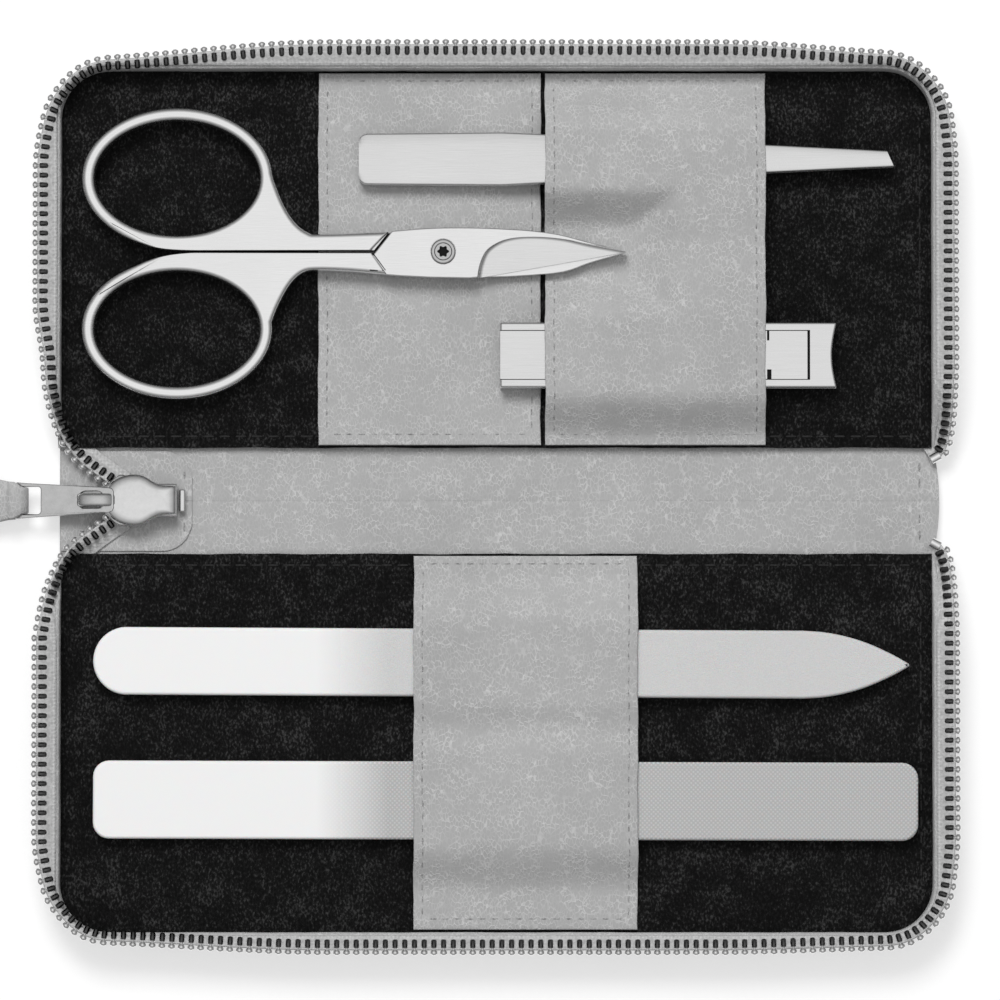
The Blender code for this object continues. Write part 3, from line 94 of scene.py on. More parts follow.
def ease(share: float) -> float:
    """A smooth step from 0 to 1; what lies outside 0 to 1 is clamped."""
    share = min(max(share, 0.0), 1.0)
    return share * share * (3 - 2 * share)


def mix(low: float, high: float, share: float) -> float:
    """The value that lies this share of the way from low to high."""
    return low + (high - low) * share


def wave(place: float, seed: float) -> float:
    """A repeatable number from about -1 to 1 that varies slowly with a distance in metres."""
    return sum(size * math.sin(place * rate + seed * shift) for size, rate, shift in WAVES) / WAVE_SPAN


def set_greys(ramp: bpy.types.Node, stops: Plan) -> None:
    """Give a colour ramp its stops.

    Args:
        ramp: The ramp's node.
        stops: Places from 0 to 1 with their levels of grey.
    """
    elements = ramp.color_ramp.elements
    while len(elements) < len(stops):
        elements.new(0.5)
    for element, (place, level) in zip(elements, stops):
        element.position = place
        element.color = (level, level, level, 1.0)


class NodeTree:
    """A material's node tree, with short ways to add and join its nodes."""

    def __init__(self, name: str) -> None:
        """Start an empty Principled material.

        Args:
            name: The material's name.
        """
        self.material = bpy.data.materials.new(name)
        self.material.use_nodes = True
        self.tree = self.material.node_tree
        self.shader = self.tree.nodes["Principled BSDF"]
        self.place = self.tree.nodes.new("ShaderNodeTexCoord").outputs["Object"]

    def add(self, kind: str, **settings: object) -> bpy.types.Node:
        """Add a node.

        Args:
            kind: The node's type name, without its ShaderNode prefix.
            **settings: Attributes of the node, or values of its inputs by their names with underscores.

        Returns:
            The node.
        """
        node = self.tree.nodes.new("ShaderNode" + kind)
        for key, value in settings.items():
            if hasattr(node, key):
                setattr(node, key, value)
            else:
                node.inputs[key.replace("_", " ")].default_value = value
        return node

    def join(self, output: Socket, target: Socket) -> None:
        """Link an output to an input."""
        self.tree.links.new(output, target)

    def tune(self, **values: float) -> None:
        """Set inputs of the shader by their names with underscores."""
        for key, value in values.items():
            self.shader.inputs[key.replace("_", " ")].default_value = value

    def scaled(self, scale: Point3) -> Socket:
        """The object's coordinates, stretched.

        Args:
            scale: Factors along X, Y and Z.

        Returns:
            The vector socket.
        """
        mapping = self.add("Mapping", vector_type="POINT", Scale=scale)
        self.join(self.place, mapping.inputs["Vector"])
        return mapping.outputs["Vector"]

    def noise(
        self, scale: float, detail: float = 3.0, rough: float = 0.55, at: Socket | None = None
    ) -> Socket:
        """A noise texture's value.

        Args:
            scale: Waves per metre.
            detail: Octaves.
            rough: Share that each octave keeps.
            at: Coordinates, or the object's own.

        Returns:
            The value socket.
        """
        node = self.add("TexNoise", Scale=scale, Detail=detail, Roughness=rough)
        self.join(at or self.place, node.inputs["Vector"])
        return node.outputs["Fac"]

    def ramp(self, value: Socket, *stops: Point2) -> Socket:
        """Turn a value into a grey.

        Args:
            value: The value socket.
            *stops: Places from 0 to 1 with their levels of grey.

        Returns:
            The colour socket.
        """
        node = self.add("ValToRGB")
        set_greys(node, stops)
        self.join(value, node.inputs["Fac"])
        return node.outputs["Color"]

    def range(
        self, value: Socket, low: float, high: float, to_low: float = 0.0, to_high: float = 1.0
    ) -> Socket:
        """Map a value from one range onto another, clamped.

        Args:
            value: The value socket.
            low: The start of its range.
            high: The end of its range.
            to_low: The start of the new range.
            to_high: The end of the new range.

        Returns:
            The value socket.
        """
        node = self.add("MapRange", From_Min=low, From_Max=high, To_Min=to_low, To_Max=to_high)
        self.join(value, node.inputs["Value"])
        return node.outputs["Result"]

    def swing(self, noise: Socket, to_low: float = 0.0, to_high: float = 1.0) -> Socket:
        """Map the middle range of a noise, where its values lie, onto another range."""
        return self.range(noise, 0.3, 0.7, to_low, to_high)

    def maths(self, operation: str, first: Socket, second: Socket | float) -> Socket:
        """A sum of two values, or another operation on them.

        Args:
            operation: The operation's name.
            first: The first value's socket.
            second: The second value, or its socket.

        Returns:
            The result's socket.
        """
        node = self.add("Math", operation=operation)
        self.join(first, node.inputs[0])
        self.feed(second, node.inputs[1])
        return node.outputs[0]

    def feed(self, value: Socket | float, target: Socket) -> None:
        """Give an input a number, or link a socket to it.

        Args:
            value: The number, or the socket.
            target: The input.
        """
        if isinstance(value, Socket):
            self.join(value, target)
        else:
            target.default_value = value

    def bump(self, height: Socket, depth: float) -> None:
        """Give the shader a bump.

        Args:
            height: The height, from 0 to 1.
            depth: What 1 stands for, in metres.
        """
        node = self.add("Bump", Distance=depth)
        self.join(height, node.inputs["Height"])
        self.join(node.outputs["Normal"], self.shader.inputs["Normal"])

    def finish_with(self, colour: Socket, rough: Socket | float, metallic: float = 0.0) -> Material:
        """Set the shader's main values.

        Args:
            colour: The colour's socket.
            rough: A roughness, or its socket.
            metallic: 1 for metal.

        Returns:
            The material.
        """
        self.join(colour, self.shader.inputs["Base Color"])
        self.feed(rough, self.shader.inputs["Roughness"])
        self.tune(Metallic=metallic)
        return self.material


@dataclass(frozen=True)
class GrainedLeather:
    """Soft grained leather: a network of bright fine creases over pale grey, darker where it is rubbed."""

    name: str
    shade: float = 0.45
    grain: float = 1400.0
    stretch: Point3 = (1.35, 0.85, 1.0)
    depth: float = 0.05 * MM

    def make(self) -> Material:
        """Build the leather's material.

        Returns:
            The material.
        """
        tree = NodeTree(self.name)
        warp = tree.add("TexNoise", Scale=900.0, Detail=2.0)
        tree.join(tree.scaled(self.stretch), warp.inputs["Vector"])
        shift = tree.add("VectorMath", operation="SCALE", Scale=0.22 * MM)
        tree.join(warp.outputs["Color"], shift.inputs[0])
        moved = tree.add("VectorMath", operation="ADD")
        tree.join(tree.scaled(self.stretch), moved.inputs[0])
        tree.join(shift.outputs[0], moved.inputs[1])
        cells = tree.add("TexVoronoi", feature="DISTANCE_TO_EDGE", Scale=self.grain)
        tree.join(moved.outputs[0], cells.inputs["Vector"])
        crease = tree.range(cells.outputs["Distance"], 0.0, 0.15, 1.0, 0.0)
        fade = tree.range(tree.noise(420.0, 2.0), 0.36, 0.62, 0.15, 1.0)
        line = tree.maths("MULTIPLY", crease, fade)
        blotch, fine = tree.noise(75.0, 3.0), tree.noise(5200.0, 2.0)
        tone = tree.maths("ADD", tree.swing(blotch, -0.05, 0.05), tree.range(line, 0.0, 1.0, -0.06, 0.34))
        tone = tree.maths("ADD", tone, tree.swing(fine, -0.02, 0.02))
        colour = tree.ramp(tree.range(tone, -0.25, 0.5), (0.0, self.shade * 0.72), (1.0, self.shade * 1.52))
        tree.bump(tree.maths("ADD", line, tree.swing(fine, 0.0, 0.12)), self.depth)
        tree.tune(Sheen_Weight=0.15, Specular_IOR_Level=0.42)
        return tree.finish_with(colour, tree.range(line, 0.0, 1.0, 0.56, 0.40))


@dataclass(frozen=True)
class Suede:
    """Near-black suede with a short nap that catches the light in specks."""

    name: str
    dark: float = 0.0035
    light: float = 0.052

    def make(self) -> Material:
        """Build the suede's material.

        Returns:
            The material.
        """
        tree = NodeTree(self.name)
        nap = tree.noise(2900.0, 2.0, 0.6, tree.scaled((1.0, 0.62, 1.0)))
        mixed = tree.maths("ADD", nap, tree.swing(tree.noise(210.0, 3.0), -0.09, 0.09))
        stops = ((0.0, self.dark), (0.45, self.dark * 2.4), (1.0, self.light))
        colour = tree.ramp(tree.range(mixed, 0.36, 0.78), *stops)
        tree.bump(nap, 0.16 * MM)
        tree.tune(Sheen_Weight=0.05, Specular_IOR_Level=0.15)
        return tree.finish_with(colour, 0.92)


@dataclass(frozen=True)
class WovenTape:
    """The grey woven tape that a zip's teeth are clamped on."""

    name: str
    shade: float
    thread: float = 3300.0

    def make(self) -> Material:
        """Build the tape's material.

        Returns:
            The material.
        """
        tree = NodeTree(self.name)
        waves = []
        for direction in ("X", "Y", "Z"):
            band = tree.add("TexWave", wave_type="BANDS", bands_direction=direction, Scale=self.thread / 6.3)
            tree.join(tree.place, band.inputs["Vector"])
            waves.append(band.outputs["Fac"])
        weave = tree.maths("MULTIPLY", tree.maths("ADD", waves[0], waves[1]), waves[2])
        fuzz = tree.noise(1900.0, 3.0)
        tone = tree.maths("ADD", tree.range(weave, 0.0, 2.0, 0.0, 0.5), tree.swing(fuzz, 0.0, 0.5))
        colour = tree.ramp(tone, (0.0, self.shade * 0.7), (1.0, self.shade * 1.35))
        tree.bump(tone, 0.12 * MM)
        return tree.finish_with(colour, 0.85)


@dataclass(frozen=True)
class BrushedSteel:
    """Satin stainless steel with fine brushing along X."""

    name: str
    shade: float = 0.86
    rough: float = 0.24
    brushing: Point3 = (0.5, 26.0, 6.0)

    def make(self) -> Material:
        """Build the steel's material.

        Returns:
            The material.
        """
        tree = NodeTree(self.name)
        brush = tree.noise(420.0, 4.0, 0.6, tree.scaled(self.brushing))
        cloud = tree.noise(90.0, 2.0)
        colour = tree.ramp(tree.swing(brush), (0.0, self.shade * 0.90), (1.0, self.shade * 1.05))
        rough = tree.maths("ADD", tree.swing(brush, -0.04, 0.04), tree.range(cloud, 0.0, 1.0, 0.97, 1.03))
        rough = tree.maths("SUBTRACT", rough, 1.0 - self.rough)
        tree.bump(brush, 0.003 * MM)
        tree.tune(Anisotropic=0.3)
        return tree.finish_with(colour, rough, 1.0)


@dataclass(frozen=True)
class PolishedPlate:
    """Bright nickel plate with faint handling marks."""

    name: str
    shade: float
    rough: float = 0.14

    def make(self) -> Material:
        """Build the plate's material.

        Returns:
            The material.
        """
        tree = NodeTree(self.name)
        marks = tree.noise(700.0, 4.0, 0.65)
        colour = tree.ramp(tree.swing(marks), (0.0, self.shade * 0.88), (1.0, self.shade * 1.04))
        tree.bump(marks, 0.01 * MM)
        return tree.finish_with(colour, tree.swing(marks, self.rough, self.rough * 1.9), 1.0)


@dataclass(frozen=True)
class EtchedGlass:
    """White glass that is left smooth at the handle and etched to a grey filing face beyond a fade."""

    name: str
    etched: float
    mesh_pitch: float = 0.0
    grit_share: float = 0.28
    smooth: float = 0.90
    fade_from: float = -30 * MM
    fade_to: float = -18 * MM

    def make(self) -> Material:
        """Build the glass's material.

        Returns:
            The material.
        """
        tree = NodeTree(self.name)
        axes = tree.add("SeparateXYZ")
        tree.join(tree.place, axes.inputs[0])
        share = tree.range(axes.outputs["X"], self.fade_from, self.fade_to)
        pattern = tree.swing(tree.noise(6500.0, 2.0))
        if self.mesh_pitch > 0:
            dots = tree.add("TexVoronoi", feature="F1", Scale=1.0 / self.mesh_pitch, Randomness=0.0)
            turned = tree.add("Mapping", vector_type="POINT", Rotation=(0.0, 0.0, math.radians(45)))
            tree.join(tree.place, turned.inputs["Vector"])
            tree.join(turned.outputs["Vector"], dots.inputs["Vector"])
            pattern = tree.range(dots.outputs["Distance"], 0.2, 0.55)
        grit = tree.maths("MULTIPLY", share, pattern)
        even = tree.maths("MULTIPLY", share, 1.0 - self.grit_share)
        tone = tree.maths("ADD", even, tree.maths("MULTIPLY", grit, self.grit_share))
        colour = tree.ramp(tone, (0.0, self.smooth), (1.0, self.etched * 0.86))
        tree.bump(grit, 0.04 * MM)
        tree.tune(Coat_Weight=0.25, Subsurface_Weight=0.12, Subsurface_Scale=1.0 * MM)
        return tree.finish_with(colour, tree.range(share, 0.0, 1.0, 0.16, 0.5))


@dataclass(frozen=True)
class Thread:
    """Waxed sewing thread, twisted from two plies."""

    name: str
    shade: float

    def make(self) -> Material:
        """Build the thread's material.

        Returns:
            The material.
        """
        tree = NodeTree(self.name)
        twist = tree.noise(3800.0, 2.0, 0.5, tree.scaled((1.0, 1.0, 0.3)))
        colour = tree.ramp(tree.range(twist, 0.35, 0.65), (0.0, self.shade * 0.6), (1.0, self.shade * 1.4))
        tree.bump(twist, 0.05 * MM)
        return tree.finish_with(colour, 0.7)


def shown(name: str, data: bpy.types.ID) -> Piece:
    """Put an object into the scene.

    Args:
        name: Its name.
        data: Its mesh, curve, lamp or camera.

    Returns:
        The object.
    """
    item = bpy.data.objects.new(name, data)
    bpy.context.scene.collection.objects.link(item)
    return item


def fitted(piece: Piece, node: str, body: str) -> Piece:
    """Let a piece replace a node and ride on a body.

    Args:
        piece: The piece.
        node: The node that it stands for.
        body: The body that it moves with.

    Returns:
        The piece.
    """
    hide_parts(node)
    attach(piece, body)
    return piece


class Shape:
    """Points and faces that grow by lofts, and end as one object."""

    def __init__(self) -> None:
        """Start with nothing."""
        self.points: list[Vector] = []
        self.faces: list[tuple[int, ...]] = []

    def loft(self, rings: Sequence[Sequence[Sequence[float]]]) -> Shape:
        """Join closed rings of equally many points, one after another, and fill the first and the last.

        Args:
            rings: The rings.

        Returns:
            This shape.
        """
        start, count = len(self.points), len(rings[0])
        for ring in rings:
            self.points += [Vector(point) for point in ring]
        for low in range(start, start + (len(rings) - 1) * count, count):
            for step in range(count):
                after = (step + 1) % count
                self.faces.append((low + step, low + after, low + count + after, low + count + step))
        self.faces.append(tuple(range(start, start + count)))
        self.faces.append(tuple(range(len(self.points) - count, len(self.points))))
        return self

    def grid(self, rows: Sequence[Sequence[Point3]], under: Sequence[Sequence[Point3]]) -> Shape:
        """A slab: a grid of points over another one, joined round their rim.

        Args:
            rows: The upper grid.
            under: The lower grid, of the same size.

        Returns:
            This shape.
        """
        start, tall, wide = len(self.points), len(rows), len(rows[0])
        for row in (*rows, *under):
            self.points += [Vector(point) for point in row]
        lower = start + tall * wide
        for row in range(tall - 1):
            for corner in range(row * wide, row * wide + wide - 1):
                quad = (corner, corner + 1, corner + wide + 1, corner + wide)
                self.faces.append(tuple(start + place for place in quad))
                self.faces.append(tuple(lower + place for place in reversed(quad)))
        rim = [*range(wide), *range(2 * wide - 1, tall * wide, wide)]
        rim += [*range(tall * wide - 2, (tall - 1) * wide - 1, -1), *range((tall - 2) * wide, 0, -wide)]
        for here, after in zip(rim, rim[1:] + rim[:1]):
            self.faces.append((start + here, lower + here, lower + after, start + after))
        return self

    def piece(self, name: str, finish: Material, sharp: float = 35.0) -> Piece:
        """End the shape as one object, smooth but for its sharp edges.

        Args:
            name: The object's name.
            finish: Its material.
            sharp: The angle in degrees from which an edge stays sharp.

        Returns:
            The object.
        """
        mesh = bpy.data.meshes.new(name)
        mesh.from_pydata([tuple(point) for point in self.points], [], self.faces)
        work = bmesh.new()
        work.from_mesh(mesh)
        bmesh.ops.recalc_face_normals(work, faces=work.faces)
        work.to_mesh(mesh)
        work.free()
        mesh.materials.append(finish)
        mesh.shade_smooth()
        mesh.set_sharp_from_angle(angle=math.radians(sharp))
        return shown(name, mesh)


def rim_steps(low: float, high: float, step: float, rim: float) -> list[float]:
    """Places from low to high, crowded at both ends where a rim rounds over.

    Args:
        low: The first place.
        high: The last place.
        step: The largest distance between places.
        rim: The width of the rounded rim.

    Returns:
        The places.
    """
    near = [0.0, 0.12 * rim, 0.35 * rim, 0.65 * rim, rim]
    count = max(2, round((high - low - 2 * rim) / step))
    inner = [mix(low + rim, high - rim, number / count) for number in range(1, count)]
    return [low + place for place in near] + inner + [high - place for place in reversed(near)]


def rim_drop(away: float, rim: float) -> float:
    """How far a rounded rim lies below the face, this far in from its edge."""
    return 0.0 if away >= rim else rim - math.sqrt(max(0.0, rim * rim - (rim - away) ** 2))


@dataclass
class Panel:
    """A sheet of leather or lining, as a slab over a rectangle, with rounded edges and soft waves."""

    name: str
    left: float
    right: float
    near: float
    far: float
    thick: float
    rim: float
    step: float = 1.2 * MM

    def build(
        self, under: Callable[[float, float], float], finish: Material, bend: Callable[[float, float], Point2]
    ) -> Piece:
        """Build the slab.

        Args:
            under: The height of the lower face at a place.
            finish: The material.
            bend: Moves a place in plan, such as to round a corner or bow an edge.

        Returns:
            The object.
        """
        upper, lower = [], []
        for y in rim_steps(self.near, self.far, self.step, self.rim):
            tops, bottoms = [], []
            for x in rim_steps(self.left, self.right, self.step, self.rim):
                drop = rim_drop(min(x - self.left, self.right - x, y - self.near, self.far - y), self.rim)
                height = under(x, y)
                slope = (under(x, y + SLOPE_STEP) - height) / SLOPE_STEP
                place = bend(x, y)
                tops.append((*place, height + self.thick * math.sqrt(1 + slope * slope) - drop))
                bottoms.append((*place, height + min(drop, self.thick * 0.3)))
            upper.append(tops)
            lower.append(bottoms)
        return Shape().grid(upper, lower).piece(self.name, finish, 60.0)


class Route:
    """A line through points, walked by distance."""

    def __init__(self, points: Sequence[Vector]) -> None:
        """Measure the line.

        Args:
            points: The points, in order.
        """
        self.points = list(points)
        self.runs = [0.0]
        for before, after in zip(points, points[1:]):
            self.runs.append(self.runs[-1] + (after - before).length)
        self.length = self.runs[-1]

    def at(self, run: float) -> tuple[Vector, Vector]:
        """The point and the direction at a distance along the line.

        Args:
            run: The distance from the start.

        Returns:
            The point and the unit direction.
        """
        index = 1
        while index < len(self.runs) - 1 and self.runs[index] < run:
            index += 1
        before, after = self.points[index - 1], self.points[index]
        span = self.runs[index] - self.runs[index - 1]
        return before.lerp(after, (run - self.runs[index - 1]) / span), (after - before).normalized()


@dataclass
class Stitching:
    """A row of sewn stitches along a line of points on a surface."""

    pitch: float = 2.7 * MM
    length: float = 1.9 * MM
    width: float = 0.36 * MM
    height: float = 0.22 * MM
    profile: Pairs = ((-0.5, 0.25), (-0.38, 0.8), (0.0, 1.0), (0.38, 0.8), (0.5, 0.25))

    def add_row(self, shape: Shape, line: Sequence[Sequence[float]]) -> None:
        """Add the stitches of one row.

        Args:
            shape: The shape that they go into.
            line: Points along the row, on the surface that it is sewn through.
        """
        route = Route([Vector(point) for point in line])
        count = max(1, int(route.length / self.pitch))
        margin = (route.length - (count - 1) * self.pitch) / 2
        for number in range(count):
            here, along = route.at(margin + number * self.pitch)
            side = Vector((0, 0, 1)).cross(along).normalized()
            up = along.cross(side)
            rings = []
            for share, size in self.profile:
                centre = here + along * share * self.length - up * self.height * 0.45 * abs(share * 2) ** 3
                ring = []
                for cosine, sine in ellipse((0.0, 0.0), 1.0, 1.0, 6):
                    across = side * cosine * self.width / 2 * size
                    ring.append(centre + across + up * sine * self.height / 2 * size)
                rings.append(ring)
            shape.loft(rings)


def ellipse(centre: Point2, across: float, up: float, steps: int) -> list[Point2]:
    """An ellipse's points."""
    angles = [math.tau * step / steps for step in range(steps)]
    return [(centre[0] + across * math.cos(angle), centre[1] + up * math.sin(angle)) for angle in angles]


def smooth_line(points: Sequence[Sequence[float]], steps: int = 8) -> list[Vector]:
    """A Catmull-Rom line through points.

    Args:
        points: The points that it passes.
        steps: Points made for each stretch.

    Returns:
        The line's points.
    """
    knots = [Vector(point) for point in points]
    knots = [2 * knots[0] - knots[1], *knots, 2 * knots[-1] - knots[-2]]
    line = []
    for a, b, c, d in zip(knots, knots[1:], knots[2:], knots[3:]):
        bend, twist = 2 * a - 5 * b + 4 * c - d, 3 * b - a - 3 * c + d
        for step in range(steps):
            t = step / steps
            line.append(0.5 * (2 * b + (c - a) * t + bend * t * t + twist * t**3))
    line.append(knots[-2])
    return line


def smooth_plan(points: Plan, steps: int) -> list[Point2]:
    """A smooth line through points in plan."""
    return [(point.x, point.y) for point in smooth_line([(x, y, 0.0) for x, y in points], steps)]


@dataclass(frozen=True)
class CaseFinishes:
    """The finishes of the case's own pieces."""

    leather: Material
    lining_leather: Material
    suede: Material
    board: Material
    tape: Material
    pale_thread: Material
    dark_thread: Material
    tooth_metal: Material
    plate: Material
    # A near-black copy of the tooth metal, painted on the teeth's legs as shade and dark reflection.
    painted_leg_shade: Material
    # A darker copy of the nickel plate, painted on the slider's bridge as shade.
    painted_loop_shade: Material


@dataclass
class EdgeLine:
    """The edge of one half's lining: down both sides and round its two far corners.

    A pair of sizes is for the left and the right end, and far_bulges for the rear and the front half.
    """

    side: Side
    corner: float = 8.0 * MM
    taper: float = 12.0 * MM
    far_bulges: Point2 = (0.95 * MM, -0.20 * MM)
    side_bulges: Point2 = (0.68 * MM, 0.45 * MM)
    corner_draws: Point2 = (1.9 * MM, 1.0 * MM)
    far_eases: Point2 = (44.0 * MM, 36.0 * MM)
    side_ease: float = 16.0 * MM
    near_cut: Point2 = (2.8 * MM, 4.5 * MM)
    near_draw: float = 0.6 * MM
    near_flat: float = 13.0 * MM
    near_ease: float = 10.0 * MM
    half_width: float = field(init=False)
    near: float = field(init=False)
    far: float = field(init=False)

    def __post_init__(self) -> None:
        """Take the lining's own place from the frame."""
        low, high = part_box(self.side.word + "_lining")
        self.half_width = high.x
        self.near, self.far = sorted((abs(low.y), abs(high.y)))

    def length(self, reach: float = 0.0) -> float:
        """The whole length of the line that lies this far out from the edge."""
        bend = (self.corner + reach) * math.pi / 2
        return 2 * (self.far - self.near - self.corner) + 2 * bend + 2 * (self.half_width - self.corner)

    def at(self, run: float, reach: float = 0.0) -> tuple[Vector, Vector, float]:
        """A place on the line that lies this far out from the edge.

        Args:
            run: The distance along that line, from its left end by the spine.
            reach: How far out it lies.

        Returns:
            The place in plan, the direction outwards, and the distance to the nearer end.
        """
        whole = self.length(reach)
        near_end = min(run, whole - run)
        straight = self.far - self.near - self.corner
        bend = (self.corner + reach) * math.pi / 2
        if near_end <= straight:
            x, y, out = -self.half_width, self.near + near_end, Vector((-1.0, 0.0, 0.0))
        elif near_end <= straight + bend:
            angle = (near_end - straight) / (self.corner + reach)
            out = Vector((-math.cos(angle), math.sin(angle), 0.0))
            x = -self.half_width + self.corner + self.corner * out.x
            y = self.far - self.corner + self.corner * out.y
        else:
            x, y = -self.half_width + self.corner + near_end - straight - bend, self.far
            out = Vector((0.0, 1.0, 0.0))
        if run > whole / 2:
            x, out.x = -x, -out.x
        place = Vector((x, y, 0.0)) + out * reach
        sign = self.side.value
        return Vector((place.x, sign * place.y, 0.0)), Vector((out.x, sign * out.y, 0.0)), near_end

    def bulge(self, share: float, half: Side) -> float:
        """How much further out the zip lies than its mean reach: more along the sides, less at the corners.

        Args:
            share: The place along the edge, as a share of its length.
            half: The half that the zip is on.

        Returns:
            The distance.
        """
        end = 0 if share < 0.5 else 1
        near_end = min(share, 1 - share) * self.length()
        from_corner = near_end - (self.far - self.near - self.corner) - self.corner * math.pi / 4
        drawn, side = -self.corner_draws[end], self.side_bulges[end]
        if from_corner > 0:
            far_bulge = self.far_bulges[0 if half is Side.REAR else 1]
            return mix(far_bulge, drawn, ease(1 - from_corner / self.far_eases[end]))
        sunk = -self.near_draw if end == 0 and half is Side.REAR else side
        side = mix(side, sunk, ease(1 - (near_end - self.near_flat) / self.near_ease))
        return mix(side, drawn, ease(1 + from_corner / self.side_ease))

    def covers(self, point: Vector) -> bool:
        """Whether the rear half's lining, with its left corner by the spine cut round, lies under a point.

        Args:
            point: The point.

        Returns:
            True where it does.
        """
        across, up = self.half_width - abs(point.x), point.y - self.near
        if across < 0 or up < 0:
            return False
        wide, tall = self.near_cut
        if point.x > 0 or across > wide or up > tall:
            return True
        return ((wide - across) / wide) ** 2 + ((tall - up) / tall) ** 2 < 1

    def distance(self, point: Vector) -> float:
        """How far outside the edge a point of the rear half lies, less than 0 inside."""
        x, y = abs(point.x) - self.half_width + self.corner, point.y - self.far + self.corner
        return (math.hypot(x, y) if x > 0 and y > 0 else max(x, y)) - self.corner

    def sweep(self, name: str, section: Callable[[float, float], Plan], finish: Material) -> Piece:
        """Sweep a section all along the edge.

        Args:
            name: The piece's name.
            section: From the rise and the run, the section's points as distance out and height.
            finish: The material.

        Returns:
            The piece.
        """
        whole = self.length()
        count = round(whole / SWEEP_STEP)
        rings = []
        for number in range(count + 1):
            run = whole * number / count
            place, out, near_end = self.at(run)
            ring = []
            for distance, height in section(ease(near_end / self.taper), run):
                point = place + out * distance
                ring.append((point.x, point.y, height))
            rings.append(ring)
        return Shape().loft(rings).piece(name, finish, 50.0)


def rounded_section(line: Plan, thick: float) -> list[Point2]:
    """A strip's section along a line, with round ends.

    Args:
        line: The strip's middle line, as distance out and height.
        thick: Its thickness.

    Returns:
        The closed section.
    """
    points, half = [Vector(point) for point in line], thick / 2
    ways = [(after - before).normalized() for before, after in zip(points, points[1:])]
    ways = [ways[0], *[(a + b).normalized() for a, b in zip(ways, ways[1:])], ways[-1]]
    sides = [Vector((-way.y, way.x)) * half for way in ways]
    left = [point + side for point, side in zip(points, sides)]
    right = [point - side for point, side in zip(points, sides)]
    ring = []
    for edge, end, sign in ((left, -1, 1.0), (right[::-1], 0, -1.0)):
        ring += edge
        for share in (0.25, 0.5, 0.75):
            angle = math.pi * share
            across = sides[end] * math.cos(angle) * sign
            ring.append(points[end] + across + ways[end] * half * math.sin(angle) * sign)
    return [(point.x, point.y) for point in ring]


